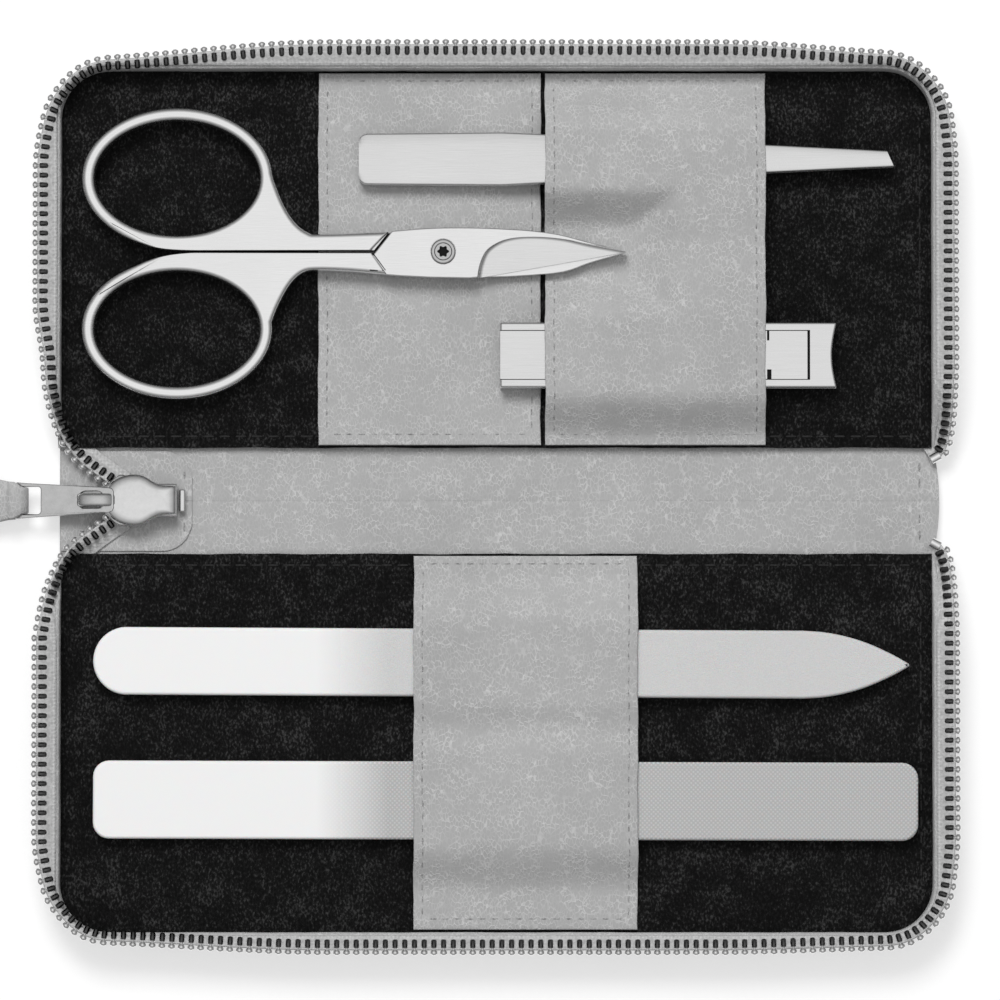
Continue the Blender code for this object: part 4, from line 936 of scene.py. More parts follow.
@dataclass
class CaseHalf:
    """One half of the case: cover, board, lining and side wall, with its sewing."""

    side: Side
    finishes: CaseFinishes
    edge: EdgeLine = field(init=False)
    join: float = 9.0 * MM
    cover_top: float = 1.0 * MM
    cover_grow: float = 1.5 * MM
    cover_rim: float = 0.35 * MM
    cover_cut: Point2 = (2.6 * MM, 8.0 * MM)
    board_inset: float = 0.3 * MM
    board_rim: float = 0.15 * MM
    lining_rim: float = 0.18 * MM
    lining_ripple: float = 0.10 * MM
    wall_gap: float = 0.02 * MM
    wall_crown: float = 0.1 * MM
    wall_waver: float = 0.04 * MM
    row_inset: float = 1.9 * MM
    row_ends: Point2 = (6.0 * MM, 2.2 * MM)
    wall_thick: float = 0.5 * MM
    wall_foot: float = 1.05 * MM
    wall_ends: float = 2.6 * MM
    wall_top: float = 6.9 * MM
    wall_roll: float = 0.35 * MM
    wall_rim: float = 1.2 * MM
    zip_reach: float = 2.65 * MM

    def __post_init__(self) -> None:
        """Find the half's edge."""
        self.edge = EdgeLine(self.side)

    def outline(self, grow: float, near: float, cut: Point2 = (0.0, 0.0)) -> list[Point2]:
        """The half's outline in plan.

        Args:
            grow: How far it lies outside the lining's edge.
            near: Where it ends by the spine, as a distance from the middle.
            cut: How the left corner by the spine is rounded, along X and Y.

        Returns:
            The outline's points, starting at the left end by the spine.
        """
        edge, points = self.edge, []
        left, radius = -edge.half_width - grow, edge.corner + grow
        for step in range(9 if cut[0] > 0 else 1):
            angle = math.pi / 2 * step / 8
            points.append((left + cut[0] * (1 - math.sin(angle)), near + cut[1] * (1 - math.cos(angle))))
        for sign, start in ((-1, math.pi), (1, math.pi / 2)):
            x, y = sign * (edge.half_width - edge.corner), edge.far - edge.corner
            for step in range(15):
                angle = start - math.pi / 2 * step / 14
                points.append((x + radius * math.cos(angle), y + radius * math.sin(angle)))
        return points + [(-left, near)]

    def plate(
        self, name: str, outline: Plan, low: float, high: float, rim: float, finish: Material
    ) -> Piece:
        """A flat layer with a rounded rim.

        Args:
            name: The piece's name.
            outline: Its outline.
            low: The height of its lower face.
            high: The height of its upper face.
            rim: The radius of its rim.
            finish: The material.

        Returns:
            The piece.
        """
        centre = Vector((0.0, (self.edge.near + self.edge.far) / 2))
        normals = []
        for before, here, after in zip([outline[-1], *outline], outline, [*outline[1:], outline[0]]):
            way = (Vector(after) - Vector(before)).normalized()
            normal = Vector((way.y, -way.x))
            normals.append(-normal if normal.dot(centre - Vector(here)) < 0 else normal)
        rings = []
        for height, inward in (
            (low, rim), (low + 0.3 * rim, 0.3 * rim), (low + rim, 0.0), (high - rim, 0.0),
            (high - 0.3 * rim, 0.3 * rim), (high, rim),
        ):
            ring = []
            for (x, y), normal in zip(outline, normals):
                ring.append((x + normal.x * inward, self.side.value * (y + normal.y * inward), height))
            rings.append(ring)
        return Shape().loft(rings).piece(f"{self.side.word}_{name}", finish, 40.0)

    def fit(self, piece: Piece, node: str) -> Piece:
        """Let a piece stand for a node of this half."""
        return fitted(piece, f"{self.side.word}_{node}", self.side.word + "_half")

    def build_cover(self) -> Piece:
        """The outer leather under the half.

        Returns:
            The piece.
        """
        outline = self.outline(self.cover_grow, self.join, self.cover_cut)
        rim, leather = self.cover_rim, self.finishes.leather
        cover = self.plate("outer_leather", outline, 0.0, self.cover_top, rim, leather)
        return self.fit(cover, "cover")

    def build_board(self) -> Piece:
        """The stiffening board between cover and lining.

        Returns:
            The piece.
        """
        low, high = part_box(self.side.word + "_board")
        outline = self.outline(-self.board_inset, self.edge.near + self.board_inset)
        board = self.plate("stiffening_board", outline, low.z, high.z, self.board_rim, self.finishes.board)
        return self.fit(board, "board")

    def build_lining(self) -> Piece:
        """The suede lining, a little wavy along the spine.

        Returns:
            The piece.
        """
        low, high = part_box(self.side.word + "_lining")
        outline = self.outline(0.0, self.edge.near, self.edge.near_cut)
        right, steps = outline[-1], 90
        for step in range(1, steps):
            x = mix(right[0], outline[0][0], step / steps)
            outline.append((x, right[1] + self.lining_ripple * wave(x, self.side.value)))
        lining = self.plate("suede", outline, low.z, high.z, self.lining_rim, self.finishes.suede)
        return self.fit(lining, "lining")

    def wall_section(self, rise: float, run: float) -> list[Point2]:
        """The wall's section at one place of the edge.

        Args:
            rise: How fully the wall stands up there, from 0 to 1.
            run: The distance along the edge.

        Returns:
            The closed section.
        """
        top = mix(self.wall_ends, self.wall_top, rise)
        bulge = self.edge.bulge(run / self.edge.length(), self.side)
        rim = self.wall_rim * rise * min(1.0, 1 + bulge / self.zip_reach)
        lean = self.wall_waver * wave(run, 2.0)
        line = [(self.wall_thick / 2 + self.wall_gap + lean, self.wall_foot + self.wall_thick / 2)]
        for angle in (0, 22, 45, 68, 86):
            turn = math.radians(angle)
            out = self.wall_roll * rise * (1 - math.cos(turn))
            line.append((line[0][0] + out, top - self.wall_roll * rise * (1 - math.sin(turn))))
        for share in (0.5, 1.0):
            line.append((line[-1][0] + 0.5 * rim + self.wall_gap, top + self.wall_crown * share * rise))
        return rounded_section(line, self.wall_thick)

    def build_wall(self) -> Piece:
        """The leather side wall, which stands up from the cover's rim and leans out."""
        wall = self.edge.sweep(self.side.word + "_wall_leather", self.wall_section, self.finishes.leather)
        return self.fit(wall, "side_wall")

    def build_sewing(self) -> Piece:
        """The dark stitches that hold the lining down along the spine and at its right edge.

        Returns:
            The piece.
        """
        edge, sign = self.edge, self.side.value
        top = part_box(self.side.word + "_lining")[1].z + 0.04 * MM
        row_y, column_x = sign * (edge.near + self.row_inset), edge.half_width - self.row_inset
        left, right = self.row_ends
        rows = (
            [(left - edge.half_width, row_y, top), (edge.half_width - right, row_y, top)],
            [(column_x, row_y, top), (column_x, sign * (edge.far - edge.corner), top)],
        )
        shape = Shape()
        for row in rows:
            Stitching().add_row(shape, row)
        sewing = shape.piece(self.side.word + "_lining_stitches", self.finishes.dark_thread)
        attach(sewing, self.side.word + "_half")
        return sewing

    def build(self) -> list[Piece]:
        """Build the half's layers."""
        layers = [self.build_cover(), self.build_board(), self.build_lining()]
        return [*layers, self.build_wall(), self.build_sewing()]


def across_fold(piece: Piece, side: Side) -> Piece:
    """Bake a piece's transform into its mesh, for a piece at the fold between the spine and one half."""
    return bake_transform(piece)


@dataclass
class Spine:
    """The spine between the halves: its leather, the patch under the zip's end, and its sewing."""

    finishes: CaseFinishes
    left: float = -72.9 * MM
    right: float = 72.9 * MM
    reach: float = 9.05 * MM
    outer_reach: float = 9.0 * MM
    outer_thick: float = 1.0 * MM
    inside: float = 1.28 * MM
    inside_thick: float = 0.55 * MM
    patch_right: float = -50.8 * MM
    patch_thick: float = 0.30 * MM
    patch_corner: float = 5.0 * MM
    patch_reach: float = 8.4 * MM
    bow: float = 1.0 * MM
    bow_length: float = 8 * MM
    free_reach: float = 7.5 * MM
    free_length: float = 12 * MM
    ripple: float = 0.10 * MM
    pucker: float = 0.05 * MM
    pucker_length: float = 4 * MM
    row_inset: float = 2.3 * MM
    row_ends: Point2 = (0.4 * MM, 8.2 * MM)
    patch_row_inset: float = 1.3 * MM
    patch_row_ends: Point2 = (2.4 * MM, 6.4 * MM)

    def bowed(self, x: float, y: float) -> Point2:
        """Bow the right end of the leather outwards."""
        share = max(0.0, (x - self.right + self.bow_length) / self.bow_length)
        return x + self.bow * share * (1 - (y / self.reach) ** 2), y

    def inner_height(self, x: float, y: float) -> float:
        """The lower face of the inner leather, softly waved where nothing holds it down."""
        free = ease(1 - abs(y) / self.free_reach) * ease((x - self.patch_right) / self.free_length)
        return self.inside + self.ripple * free * (1 + wave(x * 0.35, 1.0 + 60 * y))

    def patch_height(self, x: float, y: float) -> float:
        """The patch's lower face, puckered a little near its right edge."""
        near_edge = ease(1 - (self.patch_right - x) / self.pucker_length)
        return self.inside + self.inside_thick + self.pucker * near_edge * (1 + wave(y * 2.5, 4.0))

    def patch_corner_shift(self, x: float, y: float) -> Point2:
        """Round the patch's right corners.

        Args:
            x: The place along X.
            y: The place along Y.

        Returns:
            The place where it goes.
        """
        past = max(0.0, x - (self.patch_right - self.patch_corner)) / self.patch_corner
        if past <= 0.0:
            return x, y
        limit = self.patch_reach - self.patch_corner * (1 - math.sqrt(max(0.0, 1 - past * past)))
        return x, y * limit / self.patch_reach

    def build_side(self, side: Side) -> list[Piece]:
        """Build what lies between the spine's middle and one half.

        Args:
            side: The half.

        Returns:
            The outer leather, the inner leather, the patch and the stitches.
        """
        outer_ends = sorted((0.0, side.value * self.outer_reach))
        inner_ends = sorted((0.0, side.value * self.reach))
        patch_ends = sorted((0.0, side.value * self.patch_reach))
        left, right, word = self.left, self.right, side.word
        outer = Panel("spine_outer_leather_" + word, left, right, *outer_ends, self.outer_thick, 0.05 * MM)
        inner = Panel(
            "spine_inner_leather_" + word, left, right, *inner_ends, self.inside_thick, 0.04 * MM, 0.9 * MM
        )
        patch = Panel(
            "zip_end_patch_leather_" + word, left + 0.2 * MM, self.patch_right, *patch_ends,
            self.patch_thick, 0.12 * MM, 0.8 * MM,
        )
        lining = self.finishes.lining_leather
        pieces = [
            outer.build(lambda x, y: 0.0, self.finishes.leather, lambda x, y: (x, y)),
            inner.build(self.inner_height, lining, self.bowed),
            patch.build(self.patch_height, lining, self.patch_corner_shift),
        ]
        for piece, node in zip(pieces, ("spine_cover", "spine_lining", "zip_end_patch")):
            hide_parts(node)
        pieces.append(self.build_sewing(side))
        return [across_fold(piece, side) for piece in pieces]

    def build_sewing(self, side: Side) -> Piece:
        """The stitches at the spine's right end and round the patch.

        Args:
            side: The half that they lie towards.

        Returns:
            The piece.
        """
        top = self.inside + self.inside_thick + 0.06 * MM
        right, patch_x = self.right - self.row_inset, self.patch_right - self.patch_row_inset
        shape = Shape()
        for x, ends, height in (
            (right, self.row_ends, top), (patch_x, self.patch_row_ends, top + self.patch_thick),
        ):
            row = [(x, end * side.value, height) for end in ends]
            Stitching(length=1.7 * MM, height=0.16 * MM).add_row(shape, row)
        return shape.piece("spine_stitches_" + side.word, self.finishes.pale_thread)

    def build(self) -> list[Piece]:
        """Build the spine."""
        return [piece for side in Side for piece in self.build_side(side)]


@dataclass
class ZipSide:
    """One half's side of the zip: its tape, its teeth and the stop at its end.

    The curls are the route's ends by the spine, in millimetres, and the tooth's profile is distance out, half
    width and half height.
    """

    side: Side
    finishes: CaseFinishes
    reach: float = 2.65 * MM
    root_high: float = 7.75 * MM
    root_low: float = 3.75 * MM
    tape_low: float = 2.30 * MM
    tape_thick: float = 0.45 * MM
    pitch: float = 1.61 * MM
    split: float = 10.5 * MM
    near_start: float = 23.0 * MM
    near_end: float = 22.0 * MM
    left_curl: Triples = (
        (-62.6, 2.2, 3.75), (-64.2, 3.2, 3.75), (-66.2, 4.6, 3.75), (-68.2, 6.1, 3.85),
    )
    rear_curl: Triples = (
        (-70.1, 7.9, 4.05), (-71.7, 10.2, 4.5), (-72.9, 12.9, 5.35), (-73.8, 15.9, 6.5), (-74.4, 19.2, 7.4),
    )
    front_curl: Triples = (
        (-70.35, 7.8, 4.05), (-72.0, 9.9, 4.5), (-73.25, 12.4, 5.35), (-74.4, 15.4, 6.5), (-75.2, 18.9, 7.4),
    )
    right_curl: Triples = (
        (75.55, 18.2, 7.2), (75.4, 14.6, 6.1), (75.1, 11.6, 4.9), (74.6, 9.2, 4.0), (73.7, 7.6, 3.5),
        (72.4, 6.8, 3.3),
    )
    tooth_profile: Triples = (
        (-1.30, 0.20, 0.22), (-1.22, 0.38, 0.40), (-1.02, 0.45, 0.50), (-0.25, 0.46, 0.52),
        (0.15, 0.44, 0.48), (0.30, 0.27, 0.36), (0.48, 0.29, 0.36), (0.70, 0.54, 0.46),
        (1.02, 0.57, 0.46), (1.26, 0.44, 0.36), (1.40, 0.18, 0.15),
    )
    tooth_corners: Pairs = (
        (1, 0.35), (0.35, 1), (-0.35, 1), (-1, 0.35), (-1, -0.55), (-0.6, -1), (0.6, -1), (1, -0.55)
    )
    leg_rows: int = 4

    def route(self) -> Route:
        """The line along the teeth's roots, from the slider round the half to its right end by the spine.

        Returns:
            The route, as if the half were the rear one.
        """
        edge = EdgeLine(Side.REAR)
        left = self.left_curl + (self.rear_curl if self.side is Side.REAR else self.front_curl)
        whole = edge.length(self.reach)
        near_start, near_end = self.near_start - edge.near, whole - (self.near_end - edge.near)
        points = []
        count = round((near_end - near_start) / ROUTE_STEP)
        for number in range(1, count):
            run = mix(near_start, near_end, number / count)
            place, out, _ = edge.at(run, self.reach)
            place += out * edge.bulge(run / whole, self.side)
            points.append(Vector((place.x, place.y, self.root_high)))
        ends = []
        for sign, run, along in ((-1, near_start, near_start), (1, near_end, whole - near_end)):
            x = sign * (edge.half_width + self.reach + edge.bulge(run / whole, self.side))
            ends.append((x, edge.near + along, self.root_high))
        curls = [[tuple(v * MM for v in point) for point in curl] for curl in (left, self.right_curl)]
        return Route(smooth_line([*curls[0], ends[0]]) + points + smooth_line([ends[1], *curls[1]]))

    def inward(self, along: Vector) -> Vector:
        """The level direction from the teeth towards the inside of the half."""
        return Vector((along.y, -along.x, 0.0)).normalized()

    def placed(self, point: Vector) -> Vector:
        """The point on this half."""
        return Vector((point.x, point.y * self.side.value, point.z))

    def standing(self, root: Vector) -> float:
        """How fully the zip stands up at a place, from 0 by the spine to 1."""
        return ease((root.z - self.root_low) / (self.root_high - self.root_low))

    def tape_ring(self, root: Vector, inward: Vector) -> list[Vector]:
        """The tape's closed section at one place, from under the teeth to where it is sewn in.

        Args:
            root: The place of the teeth's roots.
            inward: The direction towards the inside of the half.

        Returns:
            The points of the section.
        """
        drop = self.tape_low - root.z
        edge, steps = EdgeLine(Side.REAR), 27
        inside = (step for step in range(steps) if edge.covers(root + inward * step * 0.1 * MM))
        free = max(0.15, next(inside, steps) / steps)
        flat = (
            (-0.3, 0.0), (0.7 * free, 0.3 * drop), (1.4 * free, 0.7 * drop), (2.0 * free, 0.95 * drop),
            (2.7 * free, drop),
        )
        deep = max(0.3, (edge.distance(root) - 0.7 * MM) / MM)
        tall = ((-0.3, 0.0), (0.15 * deep, -0.06), (0.5 * deep, -0.16), (0.8 * deep, -0.30), (deep, -0.55))
        line = []
        for (flat_in, flat_down), (tall_in, tall_down) in zip(flat, tall):
            distance = mix(flat_in, tall_in, self.standing(root)) * MM
            height = mix(flat_down, tall_down * MM, self.standing(root))
            point = root + inward * distance + Vector((0, 0, height))
            line.append(((point - root).dot(inward), point.z))
        section = rounded_section(line, self.tape_thick)
        return [self.placed(root + inward * distance + Vector((0, 0, z - root.z))) for distance, z in section]

    def add_tooth(self, shape: Shape, root: Vector, along: Vector) -> range:
        """Add one tooth: two legs round the tape as one block, a waist, and a head with a rounded nose.

        Args:
            shape: The shape that it goes into.
            root: Where the tape's edge is.
            along: The direction along the tape.

        Returns:
            The numbers of the legs' faces.
        """
        out = (Vector((0, 0, 0.10 * self.standing(root))) - self.inward(along)).normalized()
        up = along.cross(out).normalized()
        if up.z < 0:
            up = -up
        first = len(shape.faces)
        rings = []
        for distance, half, tall in self.tooth_profile:
            centre, ring = root + out * distance * MM, []
            for side, rise in self.tooth_corners:
                ring.append(self.placed(centre + along * side * half * MM + up * rise * tall * MM))
            rings.append(ring)
        shape.loft(rings)
        return range(first, first + self.leg_rows * len(rings[0]))

    def add_stop(self, shape: Shape, route: Route) -> None:
        """Add the stop that is clamped on the tape's end.

        Args:
            shape: The shape that it goes into.
            route: The teeth's route.
        """
        root, along = route.at(route.length - 0.9 * MM)
        out = -self.inward(along)
        rings = []
        for distance, size in ((-0.9, 0.5), (-0.8, 0.9), (0.8, 0.9), (0.9, 0.5)):
            ring = []
            for across, rise in ellipse((0.0, 0.0), 0.85 * MM * size, 0.55 * MM * size, 10):
                ring.append(self.placed(root + along * distance * MM + (out * across + Vector((0, 0, rise)))))
            rings.append(ring)
        shape.loft(rings)

    def build_tape(self, name: str, route: Route, start: float, end: float) -> Piece:
        """The tape of one stretch.

        Args:
            name: The stretch's name.
            route: The teeth's route.
            start: Where the stretch starts along the route.
            end: Where it ends.

        Returns:
            The piece.
        """
        steps = max(2, round((end - start) / TAPE_STEP))
        rings = []
        for step in range(steps + 1):
            root, along = route.at(mix(start, end, step / steps))
            rings.append(self.tape_ring(root, self.inward(Vector((along.x, along.y, 0.0)).normalized())))
        return Shape().loft(rings).piece(f"{self.side.word}_tape_{name}", self.finishes.tape, 60.0)

    def build_teeth(self, name: str, route: Route, start: float, end: float) -> Piece:
        """The teeth of one stretch, and the stop at the end of the last.

        Args:
            name: The stretch's name.
            route: The teeth's route.
            start: Where the stretch starts along the route.
            end: Where it ends.

        Returns:
            The piece.
        """
        shape, legs = Shape(), []
        for number in range(int(route.length / self.pitch) - (name == "end")):
            run = (number + 0.5) * self.pitch
            if start <= run < end:
                legs += self.add_tooth(shape, *route.at(run))
        if name == "end":
            self.add_stop(shape, route)
        teeth = shape.piece(f"{self.side.word}_teeth_{name}", self.finishes.tooth_metal, 40.0)
        # The legs get a near-black copy of the tooth metal: painted shade and dark reflection, while the same
        # metal on the heads stays bright.
        teeth.data.materials.append(self.finishes.painted_leg_shade)
        for number in legs:
            teeth.data.polygons[number].material_index = 1
        return teeth

    def build(self) -> list[Piece]:
        """Build tape and teeth, in the stretch round the half and in the two that cross the fold.

        Returns:
            The pieces.
        """
        word, route, pieces = self.side.word, self.route(), []
        inside = [run for run, point in zip(route.runs, route.points) if point.y >= self.split]
        for name, start, end, node in (
            ("tail", 0.0, inside[0], "_zip_tail"), ("run", inside[0], inside[-1], "_zip_teeth"),
            ("end", inside[-1], route.length, "_top_stop"),
        ):
            tape, teeth = self.build_tape(name, route, start, end), self.build_teeth(name, route, start, end)
            if name == "run":
                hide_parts(word + "_zip_tape")
            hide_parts(word + node)
            for piece, slot in ((tape, "tape"), (teeth, "zip_metal")):
                if name == "run":
                    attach(piece, word + "_half")
                else:
                    across_fold(piece, self.side)
                pieces.append(piece)
        return pieces


@dataclass
class Strap:
    """A leather strap that is sewn down across one half and arches over the tools under it.

    Each entry of tools names the nodes of one tool. The strap is drawn down between the first two values of
    pressed along Y, left of its third along X.
    """

    side: Side
    finishes: CaseFinishes
    node: str
    tools: tuple[str, ...]
    seed: float
    thick: float = 0.62 * MM
    inner_slope: float = 6.4 * MM
    outer_slope: float = 8.5 * MM
    room: float = 0.3 * MM
    clearance: float = 0.25 * MM
    sag: float = 0.7 * MM
    inset: float = 1.5 * MM
    near_inset: float = 1.8 * MM
    far_inset: float = 1.3 * MM
    loose_lift: float = 1.2 * MM
    ripple: float = 0.10 * MM
    droop: float = 0.16 * MM
    waver: float = 0.12 * MM
    pressed: Point3 = (0.0, 0.0, 0.0)

    def __post_init__(self) -> None:
        """Take the strap's and the tools' places from the frame."""
        self.low, self.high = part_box(self.node)
        self.humps = []
        for group in self.tools:
            boxes = [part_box(name) for name in group.split()]
            near = min(box[0].y for box in boxes) - self.room
            far = max(box[1].y for box in boxes) + self.room
            self.humps.append((near, far, max(box[1].z for box in boxes) + self.clearance))
        self.humps.sort()

    def under(self, x: float, y: float) -> float:
        """The strap's lower face: on the lining between the tools, and over them on a soft arch.

        Args:
            x: The place along X.
            y: The place along Y.

        Returns:
            The height.
        """
        lift = self.bridge(x, y)
        bow = math.sin(math.pi * ((x - self.low.x) / (self.high.x - self.low.x)))
        loose = ease(lift / self.loose_lift)
        ripple = self.ripple * loose * (1 + wave(y + 0.15 * x, self.seed)) * bow
        return self.low.z + lift + ripple - self.droop * loose * (1 - bow) ** 2 * 0.4

    def bridge(self, x: float, y: float) -> float:
        """How far the tools lift the strap: over them, across from one to the other, and down outside.

        Args:
            x: The place along X.
            y: The place along Y.

        Returns:
            The height over the strap's lowest place.
        """
        first, second = self.humps
        if y <= first[1]:
            return (first[2] - self.low.z) * ease(1 - (first[0] - y) / self.outer_slope)
        if y >= second[0]:
            return (second[2] - self.low.z) * ease(1 - (y - second[1]) / self.outer_slope)
        share = (y - first[1]) / (second[0] - first[1])
        lift = mix(first[2], second[2], share) - self.low.z - self.sag * math.sin(math.pi * share) ** 2
        near, far, right = self.pressed
        if right <= 0.0:
            return lift
        share = min(1.0, max(near - y, y - far, (x - right) * 0.8, 0.0) / self.inner_slope)
        return lift * mix(ease(share), share, 0.6)

    def top(self, x: float, y: float) -> float:
        """The height of the upper face, where the thread lies."""
        slope = (self.under(x, y + SLOPE_STEP) - self.under(x, y)) / SLOPE_STEP
        return self.under(x, y) + self.thick * math.sqrt(1 + slope * slope) - 0.01 * MM

    def bowed(self, x: float, y: float) -> Point2:
        """Let the strap's free edges waver a little, as cut leather does."""
        reach = (x - (self.low.x + self.high.x) / 2) / ((self.high.x - self.low.x) / 2)
        return x + self.waver * reach * wave(y, self.seed + (1.0 if reach > 0 else 2.0)), y

    def build(self) -> list[Piece]:
        """Build the strap and its sewing.

        Returns:
            The pieces.
        """
        low, high, body = self.low, self.high, self.side.word + "_half"
        panel = Panel(self.node + "_leather", low.x, high.x, low.y, high.y, self.thick, 0.22 * MM, 0.9 * MM)
        strap = panel.build(self.under, self.finishes.lining_leather, self.bowed)
        middle, steps = (low.x + high.x) / 2, rim_steps(low.y, high.y, 0.5 * MM, 0.2 * MM)
        route = Route([Vector((0, y, self.under(middle, y))) for y in steps])
        max(route.length, high.y - low.y)
        shape = Shape()
        stitching = Stitching(pitch=2.05 * MM, length=1.35 * MM, width=0.30 * MM, height=0.16 * MM)
        left, right = low.x + self.inset, high.x - self.inset
        for x in (left, right):
            steps = rim_steps(low.y + self.inset, high.y - self.inset, 0.7 * MM, 0.2 * MM)
            stitching.add_row(shape, [(*self.bowed(x, y), self.top(x, y)) for y in steps])
        for y in (low.y + self.near_inset, high.y - self.far_inset):
            stitching.add_row(shape, [(left, y, self.top(left, y)), (right, y, self.top(right, y))])
        sewing = shape.piece(self.node + "_stitches", self.finishes.pale_thread)
        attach(sewing, body)
        return [fitted(strap, self.node, body), sewing]


@dataclass
class Flap(Strap):
    """The flat flap of leather behind the steel tools."""

    faint: float = 0.03 * MM

    def under(self, x: float, y: float) -> float:
        """The flap's lower face, flat but for a faint wave."""
        return self.low.z + self.faint * (1 + wave(x + y, self.seed))


def hose(line: Sequence[Vector], section: Callable[[Vector, Vector], list[Vector]]) -> Rings:
    """Rings along a line that lies in an upright plane along X.

    Args:
        line: The line's points.
        section: From a point and the direction of the line there, the ring's points.

    Returns:
        The rings.
    """
    return [
        section(point, (after - before).normalized())
        for before, point, after in zip([line[0], *line], line, [*line[1:], line[-1]])
    ]


def stacked(outline: Callable[[float], Plan], levels: Plan) -> list[list[Point3]]:
    """Rings one above the other, from an outline's points at an inset and the rings' heights and insets."""
    return [[(x, y, height) for x, y in outline(inset)] for height, inset in levels]


@dataclass
class Slider:
    """The zip's slider: body, cap with its bridge, puller and the leather tab in its window.

    The cap's levels are heights and insets, and the hoop's points run along X from the body's left end. The
    puller's corners are distances from its ends and sides, and the tail's points are distances back from the
    eye and above it. All are in millimetres.
    """

    finishes: CaseFinishes
    width: float = 8.6 * MM
    neck: float = 5.5 * MM
    plate: float = 0.7 * MM
    plate_rim: float = 0.3 * MM
    body_top: float = 5.3 * MM
    flange_inset: float = 0.32 * MM
    flange_radii: Point2 = (0.30 * MM, 1.15 * MM)
    wedge_radius: float = 0.9 * MM
    wedge_back: float = 1.2 * MM
    hinge: Point3 = (-64.2 * MM, 0.0, 6.0 * MM)
    pull_length: float = 17.2 * MM
    pull_wide: float = 6.2 * MM
    pull_narrow: float = 4.1 * MM
    pull_thick: float = 1.0 * MM
    pull_near: Pairs = ((0.0, 0.7), (0.2, 0.2), (0.7, 0.0))
    pull_far: Pairs = ((0.9, 0.0), (0.25, 0.25), (0.0, 0.9))
    slot_ends: Point2 = (1.0 * MM, 5.5 * MM)
    slot_half: float = 1.45 * MM
    window_ends: Point2 = (5.3 * MM, 1.9 * MM)
    window_half: float = 2.25 * MM
    droop: float = math.radians(10.5)
    eye: Point3 = (-80.08 * MM, 0.0, 3.057 * MM)
    eye_radius: float = 1.75 * MM
    tab_thick: float = 0.62 * MM
    tab_halves: Point3 = (2.2 * MM, 3.1 * MM, 3.85 * MM)
    tail: Pairs = ((2.6, 0.72), (5.5, 0.40), (12.0, 0.36))
    cap_shares: Pairs = (
        (0.0, 0.0), (0.012, 0.16), (0.05, 0.42), (0.14, 0.72), (0.26, 0.91), (0.42, 1.0), (0.56, 0.93),
        (0.70, 0.70), (0.80, 0.59), (0.93, 0.565), (0.985, 0.54), (1.0, 0.46),
    )
    cap_levels: Pairs = (
        (5.05, 0.30), (5.12, 0.12), (5.35, 0.0), (5.75, 0.04), (6.0, 0.20), (6.17, 0.50), (6.28, 0.95),
        (6.34, 1.45),
    )
    hoop: Pairs = (
        (1.6, 6.10), (0.2, 6.62), (-1.6, 6.72), (-3.4, 6.50), (-4.3, 6.05), (-4.35, 5.35), (-3.4, 4.85),
        (-1.4, 4.70), (0.2, 4.70),
    )
    tab_section: Pairs = (
        (1, 0), (0.97, 0.6), (0.9, 1), (0.3, 1.05), (-0.3, 1.05), (-0.9, 1), (-0.97, 0.6), (-1, 0),
        (-0.97, -0.6), (-0.9, -1), (-0.3, -1), (0.3, -1), (0.9, -1), (0.97, -0.6),
    )

    def half_width(self, share: float) -> float:
        """Half the slider's width, from its wide mouth to its narrow end."""
        bulge = 0.5 * self.width * (0.86 + 0.14 * math.sin(math.pi * min(1.0, share / 0.42)))
        return mix(bulge, 0.5 * self.neck, ease((share - 0.34) / 0.24))

    def build_body(self) -> Piece:
        """The body: two plates joined by flanges at the sides and a wedge at the mouth.

        Returns:
            The piece.
        """
        low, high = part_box("slider_body")
        shape, top, rim = Shape(), self.body_top, self.plate_rim

        def outline(inset: float) -> list[Point2]:
            """The body's outline in plan.

            Args:
                inset: How far it lies inside the body's own.

            Returns:
                The points.
            """
            upper = []
            for step in range(25):
                share = step / 24
                half = self.half_width(share) - inset
                if share < 0.22:
                    half *= math.sqrt(mix(0.24, 1.0, share / 0.22))
                upper.append((mix(low.x + inset, high.x - inset, share), half))
            return upper + [(x, -y) for x, y in reversed(upper)]

        levels = (
            (0.0, 0.25 * MM), (0.12 * MM, 0.06 * MM), (rim, 0.0), (self.plate - rim, 0.0),
            (self.plate - 0.12 * MM, 0.06 * MM), (self.plate, 0.25 * MM),
        )
        for bottom in (low.z, top - self.plate):
            shape.loft(stacked(outline, [(bottom + height, inset) for height, inset in levels]))
        for sign in (1, -1):
            rings = []
            for share in (0.30, 0.45, 0.6, 0.8, 1.0):
                x = mix(low.x, high.x, share) - (0.05 * MM if share == 1.0 else 0.0)
                centre = (sign * (self.half_width(share) - self.flange_inset), (low.z + top) / 2)
                rings.append([(x, y, z) for y, z in ellipse(centre, *self.flange_radii, 8)])
            shape.loft(rings)
        wedge = ellipse((low.x + self.wedge_back, 0.0), self.wedge_radius, self.wedge_radius, 16)
        shape.loft(stacked(lambda inset: wedge, ((low.z + rim, 0.0), (top - rim, 0.0))))
        shell = shape.piece("slider_shell", self.finishes.plate, 40.0)
        return fitted(shell, "slider_body", "slider")

    def build_cap(self) -> Piece:
        """The domed cap, with the bridge that holds the puller.

        Returns:
            The piece.
        """
        body_low, body_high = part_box("slider_body")
        left = body_low.x + 0.35 * MM
        start, end = body_low.x - 0.15 * MM, body_high.x - 0.1 * MM
        middle, half = (start + end) / 2, self.width / 2
        upper = smooth_plan([(mix(start, end, along), half * out) for along, out in self.cap_shares], 3)
        plan = upper + [(x, -y) for x, y in reversed(upper[1:])]

        def outline(inset: float) -> list[Point2]:
            """The cap's outline in plan, drawn in by an inset."""
            wide, tall = 1 - inset / (4.9 * MM), 1 - inset / (4.3 * MM)
            return [(middle + (x - middle) * wide, y * tall) for x, y in plan]

